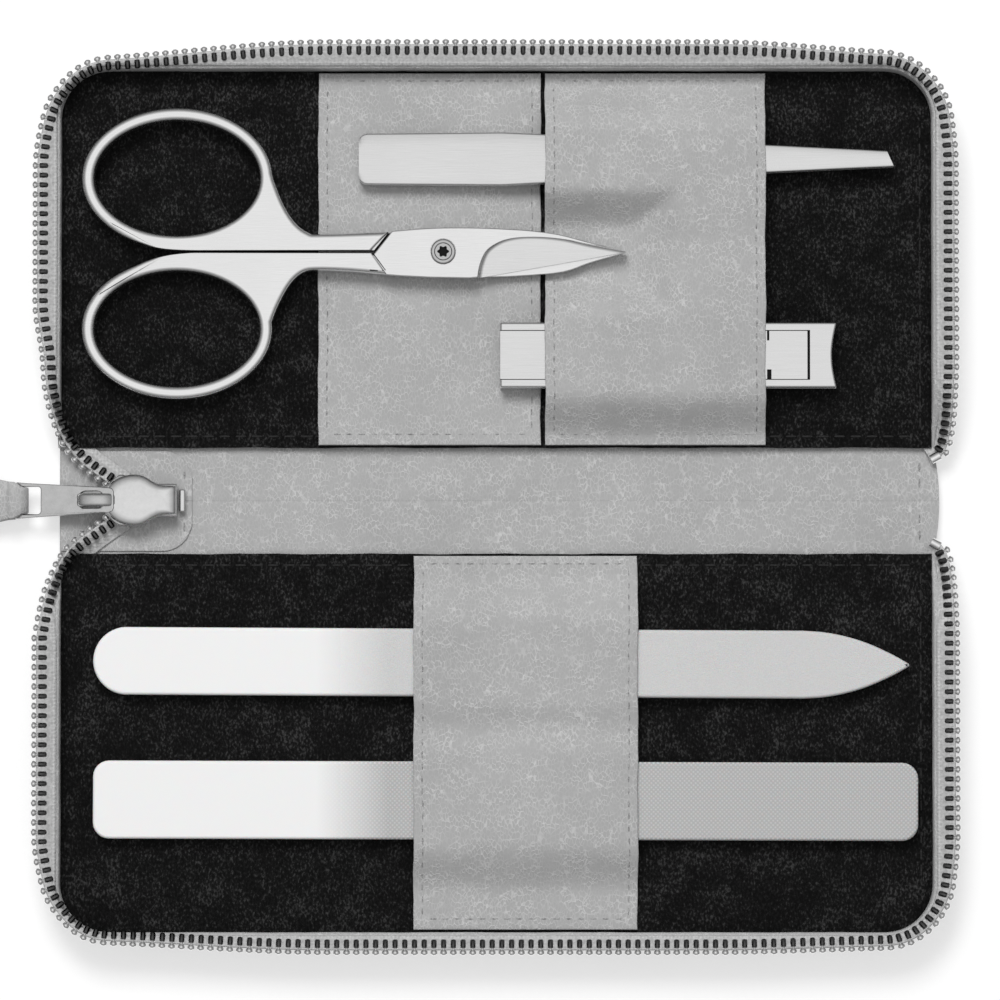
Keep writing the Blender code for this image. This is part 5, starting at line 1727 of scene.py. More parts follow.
        def section(point: Vector, along: Vector) -> list[Vector]:
            """The bridge's section, a rounded bar.

            Args:
                point: Its middle.
                along: The direction of the bridge there.

            Returns:
                The points.
            """
            across, ring = Vector((0, 1, 0)), []
            for cosine, sine in ellipse((0.0, 0.0), 1.0, 1.0, 10):
                wide = math.copysign(abs(cosine) ** 0.5, cosine)
                ring.append(point + across * wide * 1.05 * MM + along.cross(across) * sine * 0.26 * MM)
            return ring

        levels = [(height * MM, inset * MM) for height, inset in self.cap_levels]
        shape = Shape().loft(stacked(outline, levels))
        dome_faces = len(shape.faces)
        shape.loft(hose(smooth_line([(left + x * MM, 0, z * MM) for x, z in self.hoop], 5), section))
        cap = shape.piece("slider_dome", self.finishes.plate, 50.0)
        # The bridge gets a darker copy of the cap's own nickel plate: painted shade.
        cap.data.materials.append(self.finishes.painted_loop_shade)
        for face in cap.data.polygons[dome_faces:]:
            face.material_index = 1
        return fitted(cap, "slider_cap", "slider")

    def on_pull(self, back: float, across: float, up: float) -> Vector:
        """A place on the puller, by its distance back from the hinge.

        Args:
            back: Distance along the puller.
            across: Distance across it.
            up: Distance above its middle.

        Returns:
            The place.
        """
        slide = Vector((-math.cos(self.droop), 0.0, -math.sin(self.droop)))
        rise = Vector((-math.sin(self.droop), 0.0, math.cos(self.droop)))
        return Vector(self.hinge) + slide * back + Vector((0, 1, 0)) * across + rise * up

    def build_puller(self) -> Piece:
        """The puller: a flat tapering plate with a slot for the bridge and a window for the tab.

        Returns:
            The piece.
        """
        end, start = self.pull_length - 0.4 * MM, -0.6 * MM
        narrow, wide = self.pull_narrow / 2, self.pull_wide / 2
        upper = [(start + along * MM, narrow - inset * MM) for along, inset in self.pull_near]
        upper += [(mix(start, end, step / 8), mix(narrow, wide, step / 8)) for step in range(1, 8)]
        upper += [(end - along * MM, wide - inset * MM) for along, inset in self.pull_far]
        outline = upper + [(back, -across) for back, across in reversed(upper)]
        slot = rounded_slot(*self.slot_ends, self.slot_half, 1.40 * MM)
        left, right = (self.pull_length - back for back in self.window_ends)
        window = rounded_slot(left, right, self.window_half, 0.5 * MM)
        plate = Blank("zip_pull_plate", [outline, slot, window], -self.pull_thick / 2, self.pull_thick / 2)
        plate.round_edges(0.2 * MM)
        return fitted(plate.end(self.finishes.plate, self.on_pull), "zip_puller", "puller")

    def build_tab(self) -> Piece:
        """The leather tab, threaded through the puller's window and sewn back on itself.

        Returns:
            The piece.
        """
        low, eye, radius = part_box("pull_tab")[0], Vector(self.eye), self.eye_radius
        line = []
        for step in range(13):
            angle = math.radians(mix(35, 325, step / 12))
            line.append(eye + Vector((-math.cos(angle) * radius, 0, math.sin(angle) * radius)))
        tail_top = [(eye.x - back * MM, 0, eye.z + rise * MM) for back, rise in self.tail]
        tail_top.append((low.x + 0.5 * MM, 0, eye.z + 0.33 * MM))
        tail_low = [(x, y, 2 * eye.z - z) for x, y, z in tail_top]

        def section(point: Vector, along: Vector) -> list[Vector]:
            """The tab's section: narrow in the window, then wide, and rounded at its tip.

            Args:
                point: Its middle.
                along: The direction of the leather there.

            Returns:
                The points.
            """
            across, back = Vector((0, 1, 0)), eye.x - point.x
            narrow, middle, wide = self.tab_halves
            half = mix(narrow, middle, ease((back + 1.3 * MM) / (1.8 * MM)))
            half = mix(half, wide, ease((back - 0.3 * MM) / (4.5 * MM)))
            tip = max(0.0, 1 - (point.x - low.x) / (2.4 * MM))
            half *= math.sqrt(max(0.12, 1 - tip * tip * 0.8))
            up, thick, ring = across.cross(along), self.tab_thick, []
            for side, rise in self.tab_section:
                ring.append(point + across * side * half + up * rise * thick / 2)
            return ring

        shape = Shape().loft(hose(smooth_line([*reversed(tail_top), *line, *tail_low], 4), section))
        tab = shape.piece("leather_pull_tab", self.finishes.leather, 60.0)
        return fitted(tab, "pull_tab", "tab")

    def build(self) -> list[Piece]:
        """Build the slider."""
        return [self.build_body(), self.build_cap(), self.build_puller(), self.build_tab()]


def rounded_slot(left: float, right: float, half: float, corner: float) -> list[Point2]:
    """A rectangle with rounded corners, about the X axis.

    Args:
        left: Its left end.
        right: Its right end.
        half: Half its width.
        corner: The radius of its corners.

    Returns:
        The outline.
    """
    near, far, up = left + corner, right - corner, half - corner
    points = []
    for number, (x, y) in enumerate(((far, up), (near, up), (near, -up), (far, -up))):
        for step in range(7):
            angle = math.pi / 2 * (number + step / 6)
            points.append((x + corner * math.cos(angle), y + corner * math.sin(angle)))
    return points


class Blank:
    """A rigid piece that starts as a flat blank, and is cut, joined and rounded."""

    def __init__(self, name: str, loops: Sequence[Plan], low: float, high: float) -> None:
        """Cut the blank.

        Args:
            name: The piece's name.
            loops: Its outline, and those of its holes.
            low: The height of its lower face.
            high: The height of its upper face.
        """
        curve = bpy.data.curves.new(name, "CURVE")
        curve.dimensions = "2D"
        curve.fill_mode = "BOTH"
        curve.extrude = (high - low) / 2
        for loop in loops:
            spline = curve.splines.new("POLY")
            spline.points.add(len(loop) - 1)
            for point, (x, y) in zip(spline.points, loop):
                point.co = (x, y, 0.0, 1.0)
            spline.use_cyclic_u = True
        holder = shown(name, curve)
        mesh = self.evaluated(holder)
        bpy.data.objects.remove(holder)
        mesh.transform(Matrix.Translation((0, 0, (low + high) / 2)))
        work = bmesh.new()
        work.from_mesh(mesh)
        bmesh.ops.remove_doubles(work, verts=work.verts, dist=SAME_POINT)
        bmesh.ops.recalc_face_normals(work, faces=work.faces)
        work.to_mesh(mesh)
        work.free()
        self.item = shown(name, mesh)

    def evaluated(self, item: Piece) -> bpy.types.Mesh:
        """An object's mesh as its modifiers leave it."""
        return bpy.data.meshes.new_from_object(item.evaluated_get(bpy.context.evaluated_depsgraph_get()))

    def settle(self) -> Blank:
        """Apply the modifiers.

        Returns:
            This blank.
        """
        mesh = self.evaluated(self.item)
        self.item.modifiers.clear()
        self.item.data = mesh
        return self

    def combine(self, other: Blank, operation: str = "DIFFERENCE") -> Blank:
        """Cut another blank out of this one, or join it to this one.

        Args:
            other: The other blank, which is used up.
            operation: DIFFERENCE or UNION.

        Returns:
            This blank.
        """
        knife = self.item.modifiers.new("Combine", "BOOLEAN")
        knife.operation = operation
        knife.object = other.item
        self.settle()
        bpy.data.objects.remove(other.item)
        return self

    def round_edges(
        self, width: float, segments: int = 4, angle: float = 30.0,
        share: Callable[[Vector], float] | None = None,
    ) -> Blank:
        """Round the edges that are sharper than an angle.

        Args:
            width: The width of the rounding.
            segments: Its steps.
            angle: The angle in degrees.
            share: From the middle of an edge, its share of the width, where it isn't the same all over.

        Returns:
            This blank.
        """
        work = bmesh.new()
        work.from_mesh(self.item.data)
        bmesh.ops.remove_doubles(work, verts=work.verts, dist=SHORT_EDGE)
        bmesh.ops.dissolve_limit(work, angle_limit=FLAT_ANGLE, verts=work.verts, edges=work.edges)
        bevel = self.item.modifiers.new("Round", "BEVEL")
        bevel.use_clamp_overlap = False
        bevel.width = width
        bevel.segments = segments
        bevel.limit_method = "WEIGHT" if share else "ANGLE"
        bevel.angle_limit = math.radians(angle)
        if share:
            weights = work.edges.layers.float.new("bevel_weight_edge")
            for edge in work.edges:
                if edge.calc_face_angle(0.0) > bevel.angle_limit:
                    edge[weights] = share((edge.verts[0].co + edge.verts[1].co) / 2)
        work.to_mesh(self.item.data)
        work.free()
        return self.settle()

    def end(
        self, finish: Material, bend: Callable[[float, float, float], Sequence[float]] | None = None
    ) -> Piece:
        """End the piece: bend it, shade it and give it its finish.

        Args:
            finish: The material.
            bend: Moves each point, or nothing.

        Returns:
            The object.
        """
        mesh = self.item.data
        if bend:
            for vertex in mesh.vertices:
                vertex.co = Vector(bend(*vertex.co))
        mesh.shade_smooth()
        mesh.set_sharp_from_angle(angle=SHARP_ANGLE)
        self.item.modifiers.new("Normals", "WEIGHTED_NORMAL").keep_sharp = True
        self.settle()
        self.item.data.materials.clear()
        self.item.data.materials.append(finish)
        return self.item


def paint_shade(piece: Piece, finish: Material, inside: Callable[[Vector], bool]) -> Piece:
    """Paint the faces of a sunken place with near-black steel: painted shade, standing in for the shadow
    there.

    Args:
        piece: The piece.
        finish: The near-black material, painted in as shade.
        inside: Whether a face with this centre lies in the shaded hollow.

    Returns:
        The piece.
    """
    piece.data.materials.append(finish)
    for face in piece.data.polygons:
        if inside(face.center):
            face.material_index = 1
    return piece


@dataclass(frozen=True)
class ToolFinishes:
    """The finishes of the tools."""

    steel: Material
    satin_steel: Material
    screw: Material
    # Near-black steel that is painted into hollows as shade.
    painted_shade: Material
    pointed_glass: Material
    square_glass: Material


@dataclass
class Scissors:
    """Nail scissors: two leaves with finger rings, crossed at a screw with a six-lobed socket.

    The shares are places from the pivot, as shares of a reach along X and a height along Y.
    """

    finishes: ToolFinishes
    pivot: Point2 = (-8.88 * MM, 41.33 * MM)
    tip_reach: float = 30.63 * MM
    hub_half: float = 4.08 * MM
    ring_x: float = -53.2 * MM
    ring_long: float = 13.75 * MM
    ring_short: float = 9.6 * MM
    ring_round: float = 0.80 * MM
    under_offset: float = 12.30 * MM
    top_offset: float = 12.85 * MM
    band: float = 2.15 * MM
    ring_low: float = 4.2 * MM
    top: float = 7.5 * MM
    blade_thick: float = 1.4 * MM
    under_low: float = 4.4 * MM
    ditch_wide: float = 0.9 * MM
    ditch_floor: float = 5.2 * MM
    screw_radius: float = 2.05 * MM
    screw_groove: float = 1.5 * MM
    screw_low: float = 0.88 * MM
    screw_high: float = 0.30 * MM
    screw_round: float = 0.26 * MM
    groove_level: float = 0.22 * MM
    seat_depth: float = 0.9 * MM
    socket_depth: float = 0.5 * MM
    blade_lift: float = 0.04 * MM
    top_round: float = 0.20 * MM
    under_round: float = 0.16 * MM
    hollow_depth: float = 0.10 * MM
    hollow_round: float = 0.9 * MM
    hollow_tilt: float = math.radians(9.0)
    crease_depth: float = 0.25 * MM
    crease_lip: float = 0.06 * MM
    groove_wide: float = 0.14 * MM
    seat_room: float = 0.12 * MM
    socket_radius: float = 0.86 * MM
    socket_lobe: float = 0.16
    shank_radius: float = 1.35 * MM
    top_blade_shares: Pairs = (
        (-0.278, 0.84), (-0.07, 0.96), (0.147, 0.98), (0.364, 0.92), (0.50, 0.84), (0.636, 0.69),
        (0.80, 0.37), (1.0, 0.0),
    )
    top_heel_shares: Pairs = (
        (0.211, -1.04), (0.146, -1.09), (-0.07, -1.06), (-0.234, -1.0), (-0.31, -0.955), (-0.385, -0.15),
        (-0.37, -0.04),
    )
    crease_shares: Pairs = ((-0.382, -0.10), (-0.315, -0.78), (-0.311, -0.765), (-0.376, -0.09))
    hollow_shares: Pairs = (
        (0.175, -1.6), (0.185, -1.0), (0.20, -0.45), (0.235, 0.10), (0.31, 0.50), (0.40, 0.68), (0.52, 0.71),
        (0.66, 0.60), (0.80, 0.36), (1.02, 0.06),
    )
    under_blade_shares: Pairs = (
        (-0.278, 0.79), (-0.07, 0.90), (0.147, 0.92), (0.364, 0.86), (0.636, 0.62), (0.80, 0.31), (1.0, 0.0),
    )
    under_heel_shares: Pairs = (
        (1.0, 0.0), (0.80, -0.43), (0.65, -0.81), (0.42, -0.97), (0.21, -1.01), (-0.234, -0.93),
    )
    under_root_shares: Pairs = ((-0.275, -0.66), (-0.362, 0.06), (-0.47, 0.06), (-0.47, 0.77))
    under_shank_shares: Pairs = (
        (-0.80, 1.60), (-0.703, 1.482), (-0.654, 1.184), (-0.631, 0.927), (-0.597, 0.629), (-0.556, 0.399),
        (-0.507, 0.264), (-0.458, 0.2436), (-0.206, 0.273),
    )
    top_shank_shares: Pairs = (
        (-0.80, 1.60), (-0.72, 1.5), (-0.671, 1.253), (-0.643, 0.916), (-0.6125, 0.656), (-0.571, 0.409),
        (-0.524, 0.270), (-0.465, 0.243), (-0.36, 0.256), (-0.26, 0.284), (-0.2085, 0.300),
    )

    def spread(self, shares: Plan, steps: int = 1, reach: float = 0.0, height: float = 0.0) -> list[Point2]:
        """Lay points out from the pivot.

        Args:
            shares: The points, as shares of the reach and the height.
            steps: Points made for each stretch of a smooth line, or 1 for straight ones.
            reach: The reach along X, or 0 for the blades'.
            height: The height along Y, or 0 for the blades'.

        Returns:
            The points.
        """
        reach, height = reach or self.tip_reach, height or self.hub_half
        line = [(self.pivot[0] + x * reach, self.pivot[1] + y * height) for x, y in shares]
        return smooth_plan(line, steps) if steps > 1 else line

    def disc(self, name: str, radii: Sequence[float], low: float, high: float, steps: int = 64) -> Blank:
        """A round blank about the pivot, with a hole where it has a second radius."""
        return Blank(name, [ellipse(self.pivot, radius, radius, steps) for radius in radii], low, high)

    def edge_share(self, place: Vector) -> float:
        """The rounding is fine underneath and along the seam between the leaves, and full round the rings."""
        seam = ease((abs(place.y - self.pivot[1]) - 0.5 * MM) / (3.0 * MM))
        return 0.14 if place.z < (self.ring_low + self.top) / 2 else mix(0.14, 1.0, seam)

    def handle(self, name: str, side: Side, shares: Plan, offset: float, end_share: float) -> Blank:
        """A finger ring with its shank.

        Args:
            name: The leaf's name.
            side: The side of the pivot that the ring is on.
            shares: The outer line of the shank, from beyond the ring to the box.
            offset: The ring's distance from the pivot along Y.
            end_share: Where the shank's inner line starts at the box.

        Returns:
            The blank.
        """
        sign, reach = side.value, self.pivot[0] - self.ring_x
        centre = (self.ring_x, self.pivot[1] + sign * offset)
        long, short = self.ring_long + self.band, self.ring_short + self.band
        leaf = Blank(name, [ellipse(centre, long, short, 96)], self.ring_low, self.top)
        outline = self.spread(shares, 5, reach, sign * offset)
        outline += self.spread(((end_share, 0.0175), (-0.80, 0.0145)), 1, reach, sign * offset)
        for step in range(13):
            away = reach * mix(0.93, 1.16, step / 12)
            ring_edge = offset - short * math.sqrt(1 - ((away - reach) / long) ** 2)
            out = mix(0.0135 * offset, ring_edge, ease(step / 12))
            outline.append((self.pivot[0] - away, self.pivot[1] + sign * out))
        outline += self.spread(((-1.14, 0.20), (-1.0, 0.25), (-1.0, 0.6)), 1, reach, sign * offset)
        leaf.combine(Blank(name + "_shank", [outline], self.ring_low, self.top), "UNION")
        hole = ellipse(centre, self.ring_long, self.ring_short, 96)
        leaf.combine(Blank(name + "_hole", [hole], self.ring_low - MM, self.top + MM))
        return leaf.round_edges(self.ring_round, 6, 30.0, self.edge_share)

    def build_top_leaf(self) -> Piece:
        """The leaf that lies on top, with the lower ring, its box, its hollow-ground blade and its crease.

        Returns:
            The piece.
        """
        top = self.top
        shank, offset = self.top_shank_shares, self.top_offset
        leaf = self.handle("scissor_lower_ring_leaf", Side.FRONT, shank, offset, -0.265)
        outline = self.spread(self.top_blade_shares, 6) + self.spread(self.top_heel_shares)
        blade = Blank("scissor_top_blade", [outline], top - self.blade_thick, top + self.blade_lift)
        blade.round_edges(self.top_round, 3, 50.0)
        hollow = self.spread(self.hollow_shares, 6) + self.spread(((1.4, 0.0), (1.4, -1.6)))
        cutter = Blank("scissor_hollow", [hollow], 0.0, 3.0 * MM).round_edges(self.hollow_round, 8)
        tilt = Matrix.Rotation(self.hollow_tilt, 4, "X")
        centre = Vector((0.0, self.pivot[1] + 0.6 * self.hub_half, 0.0))
        raised = Matrix.Translation(centre + Vector((0.0, 0.0, top - self.hollow_depth)))
        cutter.item.data.transform(raised @ tilt @ Matrix.Translation(-centre))
        leaf.combine(blade.combine(cutter), "UNION")
        seat = self.screw_radius + self.seat_room
        leaf.combine(self.disc("scissor_screw_seat", [seat], top - self.seat_depth, top + MM))
        crease = self.spread(self.crease_shares)
        leaf.combine(Blank("scissor_crease", [crease], top - self.crease_depth, top + MM))
        left, right = crease[0][0] - 0.05 * MM, crease[1][0] + 0.15 * MM
        near, far = crease[1][1] - 0.02 * MM, crease[3][1] + 0.02 * MM

        def in_crease(place: Vector) -> bool:
            """Whether a face lies in the crease."""
            between = left < place.x < right and near < place.y < far
            return between and top - self.crease_depth - CLOSE < place.z < top - self.crease_lip

        # The crease's faces get near-black steel: painted shade, not a colour that the steel has.
        piece = paint_shade(leaf.end(self.finishes.steel), self.finishes.painted_shade, in_crease)
        return fitted(piece, "scissor_top_leaf", "scissors_top")

    def build_under_leaf(self) -> Piece:
        """The leaf below, with the upper ring and the blade that shows past the other's edge.

        Returns:
            The piece.
        """
        shank, offset = self.under_shank_shares, self.under_offset
        leaf = self.handle("scissor_upper_ring_leaf", Side.REAR, shank, offset, -0.272)
        outline = self.spread(self.under_blade_shares, 6) + self.spread(self.under_heel_shares, 4)[1:]
        outline += self.spread(self.under_root_shares)
        blade = Blank("scissor_under_blade", [outline], self.under_low, self.under_low + self.blade_thick)
        leaf.combine(blade.round_edges(self.under_round, 3, 50.0), "UNION")
        (left, near), (right, far) = self.spread(((-0.40, -0.14), (-0.28, 1.0)))
        wide, floor = self.ditch_wide, self.ditch_floor
        ditch = [(left, near), (right, far), (right + wide, far), (left + wide, near)]
        leaf.combine(Blank("scissor_box_ditch", [ditch], floor, self.top - self.seat_depth))

        def in_gap(centre: Vector) -> bool:
            """Whether a face lies in the gap between the shank's end and the other leaf's box.

            Args:
                centre: The face's middle.

            Returns:
                True where it does.
            """
            share = (centre.y - near) / (far - near)
            between = -0.05 * MM < centre.x - mix(left, right, share) < wide + 0.05 * MM
            return between and 0.0 < share < 1.0 and floor - CLOSE < centre.z < self.top - 0.7 * MM

        # The ditch's faces get near-black steel: painted shade for the dark gap between the shank and the
        # other leaf's box.
        piece = paint_shade(leaf.end(self.finishes.steel), self.finishes.painted_shade, in_gap)
        return fitted(piece, "scissor_under_leaf", "scissors")

    def build_screw(self) -> Piece:
        """The screw: a turned head with a rounded rim and a six-lobed socket.

        Returns:
            The piece.
        """
        (x, y), top, groove = self.pivot, self.top, self.screw_groove
        head = self.disc("scissor_screw", [self.screw_radius], top - self.screw_low, top + self.screw_high)
        head.round_edges(self.screw_round, 5)
        radii = [groove, groove - self.groove_wide]
        head.combine(self.disc("scissor_screw_ring", radii, top + self.groove_level, top + MM))
        socket = []
        for step in range(72):
            angle = math.tau * step / 72
            reach = self.socket_radius * (1 + self.socket_lobe * math.cos(6 * angle))
            socket.append((x + reach * math.cos(angle), y + reach * math.sin(angle)))
        head.combine(Blank("scissor_socket", [socket], top - self.socket_depth, top + MM))
        low, high = self.ring_low + 0.25 * MM, top - 0.8 * MM
        head.combine(self.disc("scissor_screw_shank", [self.shank_radius], low, high, 40), "UNION")

        def in_socket(centre: Vector) -> bool:
            """Whether a face lies in the socket, or in the ring that is turned into the head."""
            return math.hypot(centre.x - x, centre.y - y) < groove + 0.02 * MM and centre.z < top + 0.27 * MM

        # The socket and the turned ring get near-black steel: painted shade in the screw's hollows.
        piece = paint_shade(head.end(self.finishes.screw), self.finishes.painted_shade, in_socket)
        return fitted(piece, "pivot_screw", "scissors")

    def build(self) -> list[Piece]:
        """Build the scissors."""
        return [self.build_under_leaf(), self.build_top_leaf(), self.build_screw()]


@dataclass
class Tweezers:
    """Tweezers: two sprung arms, welded at the wide end, with slanted tips."""

    finishes: ToolFinishes
    length: float = 88.6 * MM
    middle: float = 56.85 * MM
    wide: float = 8.9 * MM
    tip: float = 2.7 * MM
    thick: float = 1.1 * MM
    low: float = 4.2 * MM
    weld: float = 9.0 * MM
    bow: float = 0.9 * MM
    seat: float = 0.3 * MM
    slant: float = 0.6 * MM
    edge: float = 0.30 * MM
    crown: float = 0.05 * MM
    crown_shares: Pairs = ((0.5, 0.7), (0.0, 1.0), (-0.5, 0.7))
    end_radius: float = 1.4 * MM
    end_share: float = 0.955
    full_share: float = 0.27
    bow_share: float = 0.45

    def half_width(self, place: float) -> float:
        """Half the arm's width, this far from its wide end.

        Args:
            place: The distance from the wide end.

        Returns:
            The half width.
        """
        full, share = self.wide / 2 * self.end_share, place / self.length
        if place < self.end_radius:
            return full - self.end_radius + math.sqrt(self.end_radius**2 - (self.end_radius - place) ** 2)
        if share < self.full_share:
            return mix(full, self.wide / 2, share / self.full_share)
        return mix(self.wide / 2, self.tip / 2, (share - self.full_share) / (1 - self.full_share))

    def lift(self, share: float) -> float:
        """The lower face of the upper arm, which bows up from the weld and comes back at the tip.

        Args:
            share: The place along the arm, as a share of its length.

        Returns:
            The height.
        """
        rest = self.low + self.thick + self.seat
        along = (share - self.weld / self.length) / (1 - self.weld / self.length)
        if along <= 0:
            return rest
        back = ease((along - self.bow_share) / (1 - self.bow_share))
        return rest + ease(along / self.bow_share) * self.bow - back * self.seat

    def build_arm(self, name: str, lift: Callable[[float], float], node: str, body: str) -> Piece:
        """One arm.

        Args:
            name: Its name.
            lift: The height of its lower face at a share of its length.
            node: The node that it stands for.
            body: The body that it moves with.

        Returns:
            The piece.
        """
        left, edge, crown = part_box("tweezers_lower_arm")[0].x, self.edge, self.crown
        rings = []
        for place in rim_steps(0.02 * MM, self.length - 0.02 * MM, 0.8 * MM, self.end_radius):
            share = place / self.length
            half, low = self.half_width(place), lift(share)
            high = low + self.thick
            slant = self.slant * ease((share - 0.93) / 0.07)
            section = [(-half + edge, low), (half - edge, low)]
            for centre, z, start in (
                (half - edge, low + edge, -0.5), (half - edge, high - edge, 0.0),
                (-half + edge, high - edge, 0.5), (-half + edge, low + edge, 1.0),
            ):
                if start == 0.5:
                    section += [(half * side, high + crown * rise) for side, rise in self.crown_shares]
                for step in range(5):
                    angle = math.pi * (start + step / 8)
                    section.append((centre + edge * math.cos(angle), z + edge * math.sin(angle)))
            rings.append([(left + place - slant * y / half, self.middle + y, z) for y, z in section])
        return fitted(Shape().loft(rings).piece(name, self.finishes.satin_steel, 50.0), node, body)

    def build(self) -> list[Piece]:
        """Build both arms."""
        lower = self.build_arm("tweezers_under_arm", lambda share: self.low, "tweezers_lower_arm", "tweezers")
        return [lower, self.build_arm("tweezers_top_arm", self.lift, "tweezers_upper_arm", "tweezers_upper")]


@dataclass
class NailClipper:
    """A flat nail clipper: base, channelled frame with its hollow cutting end, lever and pin."""

    finishes: ToolFinishes
    plate: float = 0.7 * MM
    rail: float = 1.3 * MM
    slot: float = 0.40 * MM
    hollow: float = 0.8 * MM
    web_low: float = 5.7 * MM
    top: float = 7.3 * MM
    block_length: float = 9.0 * MM
    lever_gap: float = 0.10 * MM
    notch_start: float = 45.05 * MM
    notch_depth: float = 1.6 * MM
    notch_width: float = 0.30 * MM
    pin_radius: float = 1.3 * MM

    def __post_init__(self) -> None:
        """Take the clipper's place from the frame."""
        low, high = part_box("clipper_base")
        self.left, self.right, self.low, self.near, self.far = low.x, high.x, low.z, low.y, high.y
        self.lever_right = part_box("clipper_lever")[1].x

    def outline(self) -> list[Point2]:
        """The clipper's plan: straight sides and a hollow cutting end.

        Returns:
            The points.
        """
        points = [(self.left, self.far), (self.left, self.near)]
        for step in range(25):
            hollow = self.hollow * math.sin(math.pi * (step / 24))
            points.append((self.right - hollow, mix(self.near, self.far, step / 24)))
        return points

    def build_base(self) -> Piece:
        """The base plate, with the block that spaces it from the frame.

        Returns:
            The piece.
        """
        base = Blank("clipper_base_plate", [self.outline()], self.low, self.low + self.plate)
        block = boxed(
            "clipper_block", (self.left + 0.3 * MM, self.left + self.block_length),
            (self.near + self.rail, self.far - self.rail), (self.low + 0.3 * MM, self.web_low - 0.1 * MM),
        )
        base.combine(block, "UNION").round_edges(0.12 * MM, 2)
        return fitted(base.end(self.finishes.satin_steel), "clipper_base", "clipper")

    def build_frame(self) -> Piece:
        """The frame: a web with two rails, open at the left end, and solid at the cutting end.

        Returns:
            The piece.
        """
        blank = Blank("clipper_channel", [self.outline()], self.web_low, self.top).round_edges(0.40 * MM, 5)
        near, far, end = self.near + self.rail, self.far - self.rail, self.lever_right + self.slot
        floor = self.web_low + self.plate
        blank.combine(boxed("clipper_pocket", (self.left - MM, end), (near, far), (floor, self.top + MM)))

        def in_channel(centre: Vector) -> bool:
            """Whether a face lies in the channel or its slot."""
            between = near - CLOSE < centre.y < far + CLOSE and centre.x < end + CLOSE
            return between and floor - 0.03 * MM < centre.z < self.top - 0.2 * MM

        # The channel and its slot get near-black steel: painted shade beside and under the lever.
        piece = paint_shade(blank.end(self.finishes.satin_steel), self.finishes.painted_shade, in_channel)
        return fitted(piece, "clipper_frame", "clipper_jaw")

    def build_lever(self) -> Piece:
        """The lever, which lies in the channel, with a notch in each edge.

        Returns:
            The piece.
        """
        low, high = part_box("clipper_lever")
        near, far = self.near + self.rail + self.lever_gap, self.far - self.rail - self.lever_gap
        lever = boxed("clipper_lever_plate", (low.x, high.x), (near, far), (low.z, self.top))
        start, deep = self.notch_start, self.notch_depth
        for name, edges, width in (
            ("clipper_notch_0", (near - MM, near + deep), self.notch_width * 2.2),
            ("clipper_notch_1", (far - deep, far + MM), self.notch_width),
        ):
            lever.combine(boxed(name, (start, start + width), edges, (low.z - MM, self.top + MM)))
        lever.round_edges(0.08 * MM, 2)
        return fitted(lever.end(self.finishes.satin_steel), "clipper_lever", "clipper_jaw")

    def build_pin(self) -> Piece:
        """The pin that ties lever, frame and base.

        Returns:
            The piece.
        """
        low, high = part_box("clipper_pin")
        centre = ((low.x + high.x) / 2, (low.y + high.y) / 2)
        pin = Blank("clipper_tie_pin", [ellipse(centre, self.pin_radius, self.pin_radius, 40)], low.z, high.z)
        pin.round_edges(0.2 * MM, 3)
        return fitted(pin.end(self.finishes.screw), "clipper_pin", "clipper")

    def build(self) -> list[Piece]:
        """Build the clipper."""
        return [self.build_base(), self.build_frame(), self.build_lever(), self.build_pin()]


def boxed(name: str, along: Point2, across: Point2, up: Point2) -> Blank:
    """A blank between two places along X, two along Y and two along Z."""
    (left, right), (near, far) = along, across
    return Blank(name, [[(left, near), (right, near), (right, far), (left, far)]], *up)


@dataclass
class GlassFiles:
    """The pointed and the square glass file, both with ground edges."""

    finishes: ToolFinishes
    left: float = -67.1 * MM
    low: float = 3.3 * MM
    high: float = 5.9 * MM
    edge: float = 0.5 * MM
    pointed_y: float = -27.1 * MM
    pointed_right: float = 68.9 * MM
    pointed_width: float = 11.3 * MM
    point: float = 17.9 * MM
    pointed_turn: float = math.radians(-0.33)
    point_shares: Pairs = (
        (0.0, 1.0), (0.2, 0.955), (0.4, 0.835), (0.6, 0.64), (0.8, 0.36), (0.93, 0.14), (1.0, 0.0),
    )
    square_y: float = -50.0 * MM
    square_right: float = 70.1 * MM
    square_width: float = 13.0 * MM
    square_corner: float = 2.7 * MM
    square_turn: float = math.radians(-0.17)

    def build_file(self, name: str, outline: Plan, y: float, turn: float, finish: Material) -> Piece:
        """A file with ground edges, turned about its middle and put in its row.

        Args:
            name: Its name.
            outline: Its outline.
            y: The place of its row.
            turn: Its turn.
            finish: Its material.

        Returns:
            The piece.
        """
        blank = Blank(name, [outline], self.low, self.high).round_edges(self.edge, 4, 40.0)
        blank.item.data.transform(Matrix.Translation((0, y, 0)) @ Matrix.Rotation(turn, 4, "Z"))
        return blank.end(finish)

    def pointed_outline(self) -> list[Point2]:
        """The pointed file's outline, round at the left end.

        Returns:
            The points.
        """
        half, shoulder = self.pointed_width / 2, self.pointed_right - self.point
        bow = [(shoulder + self.point * along, half * deep) for along, deep in self.point_shares]
        upper = smooth_plan(bow, 4)
        outline = upper[::-1]
        for step in range(1, 40):
            angle = math.pi * (0.5 + step / 40)
            outline.append((self.left + half + half * math.cos(angle), half * math.sin(angle)))
        return outline + [(x, -y) for x, y in upper[:-1]]

    def build(self) -> list[Piece]:
        """Build both files.

        Returns:
            The pieces.
        """
        pointed = self.build_file(
            "glass_file_pointed", self.pointed_outline(), self.pointed_y, self.pointed_turn,
            self.finishes.pointed_glass,
        )
        outline = rounded_slot(self.left, self.square_right, self.square_width / 2, self.square_corner)
        square = self.build_file(
            "glass_file_square", outline, self.square_y, self.square_turn, self.finishes.square_glass
        )
        return [
            fitted(pointed, "pointed_glass_file", "pointed_file"),
            fitted(square, "square_glass_file", "square_file"),
        ]


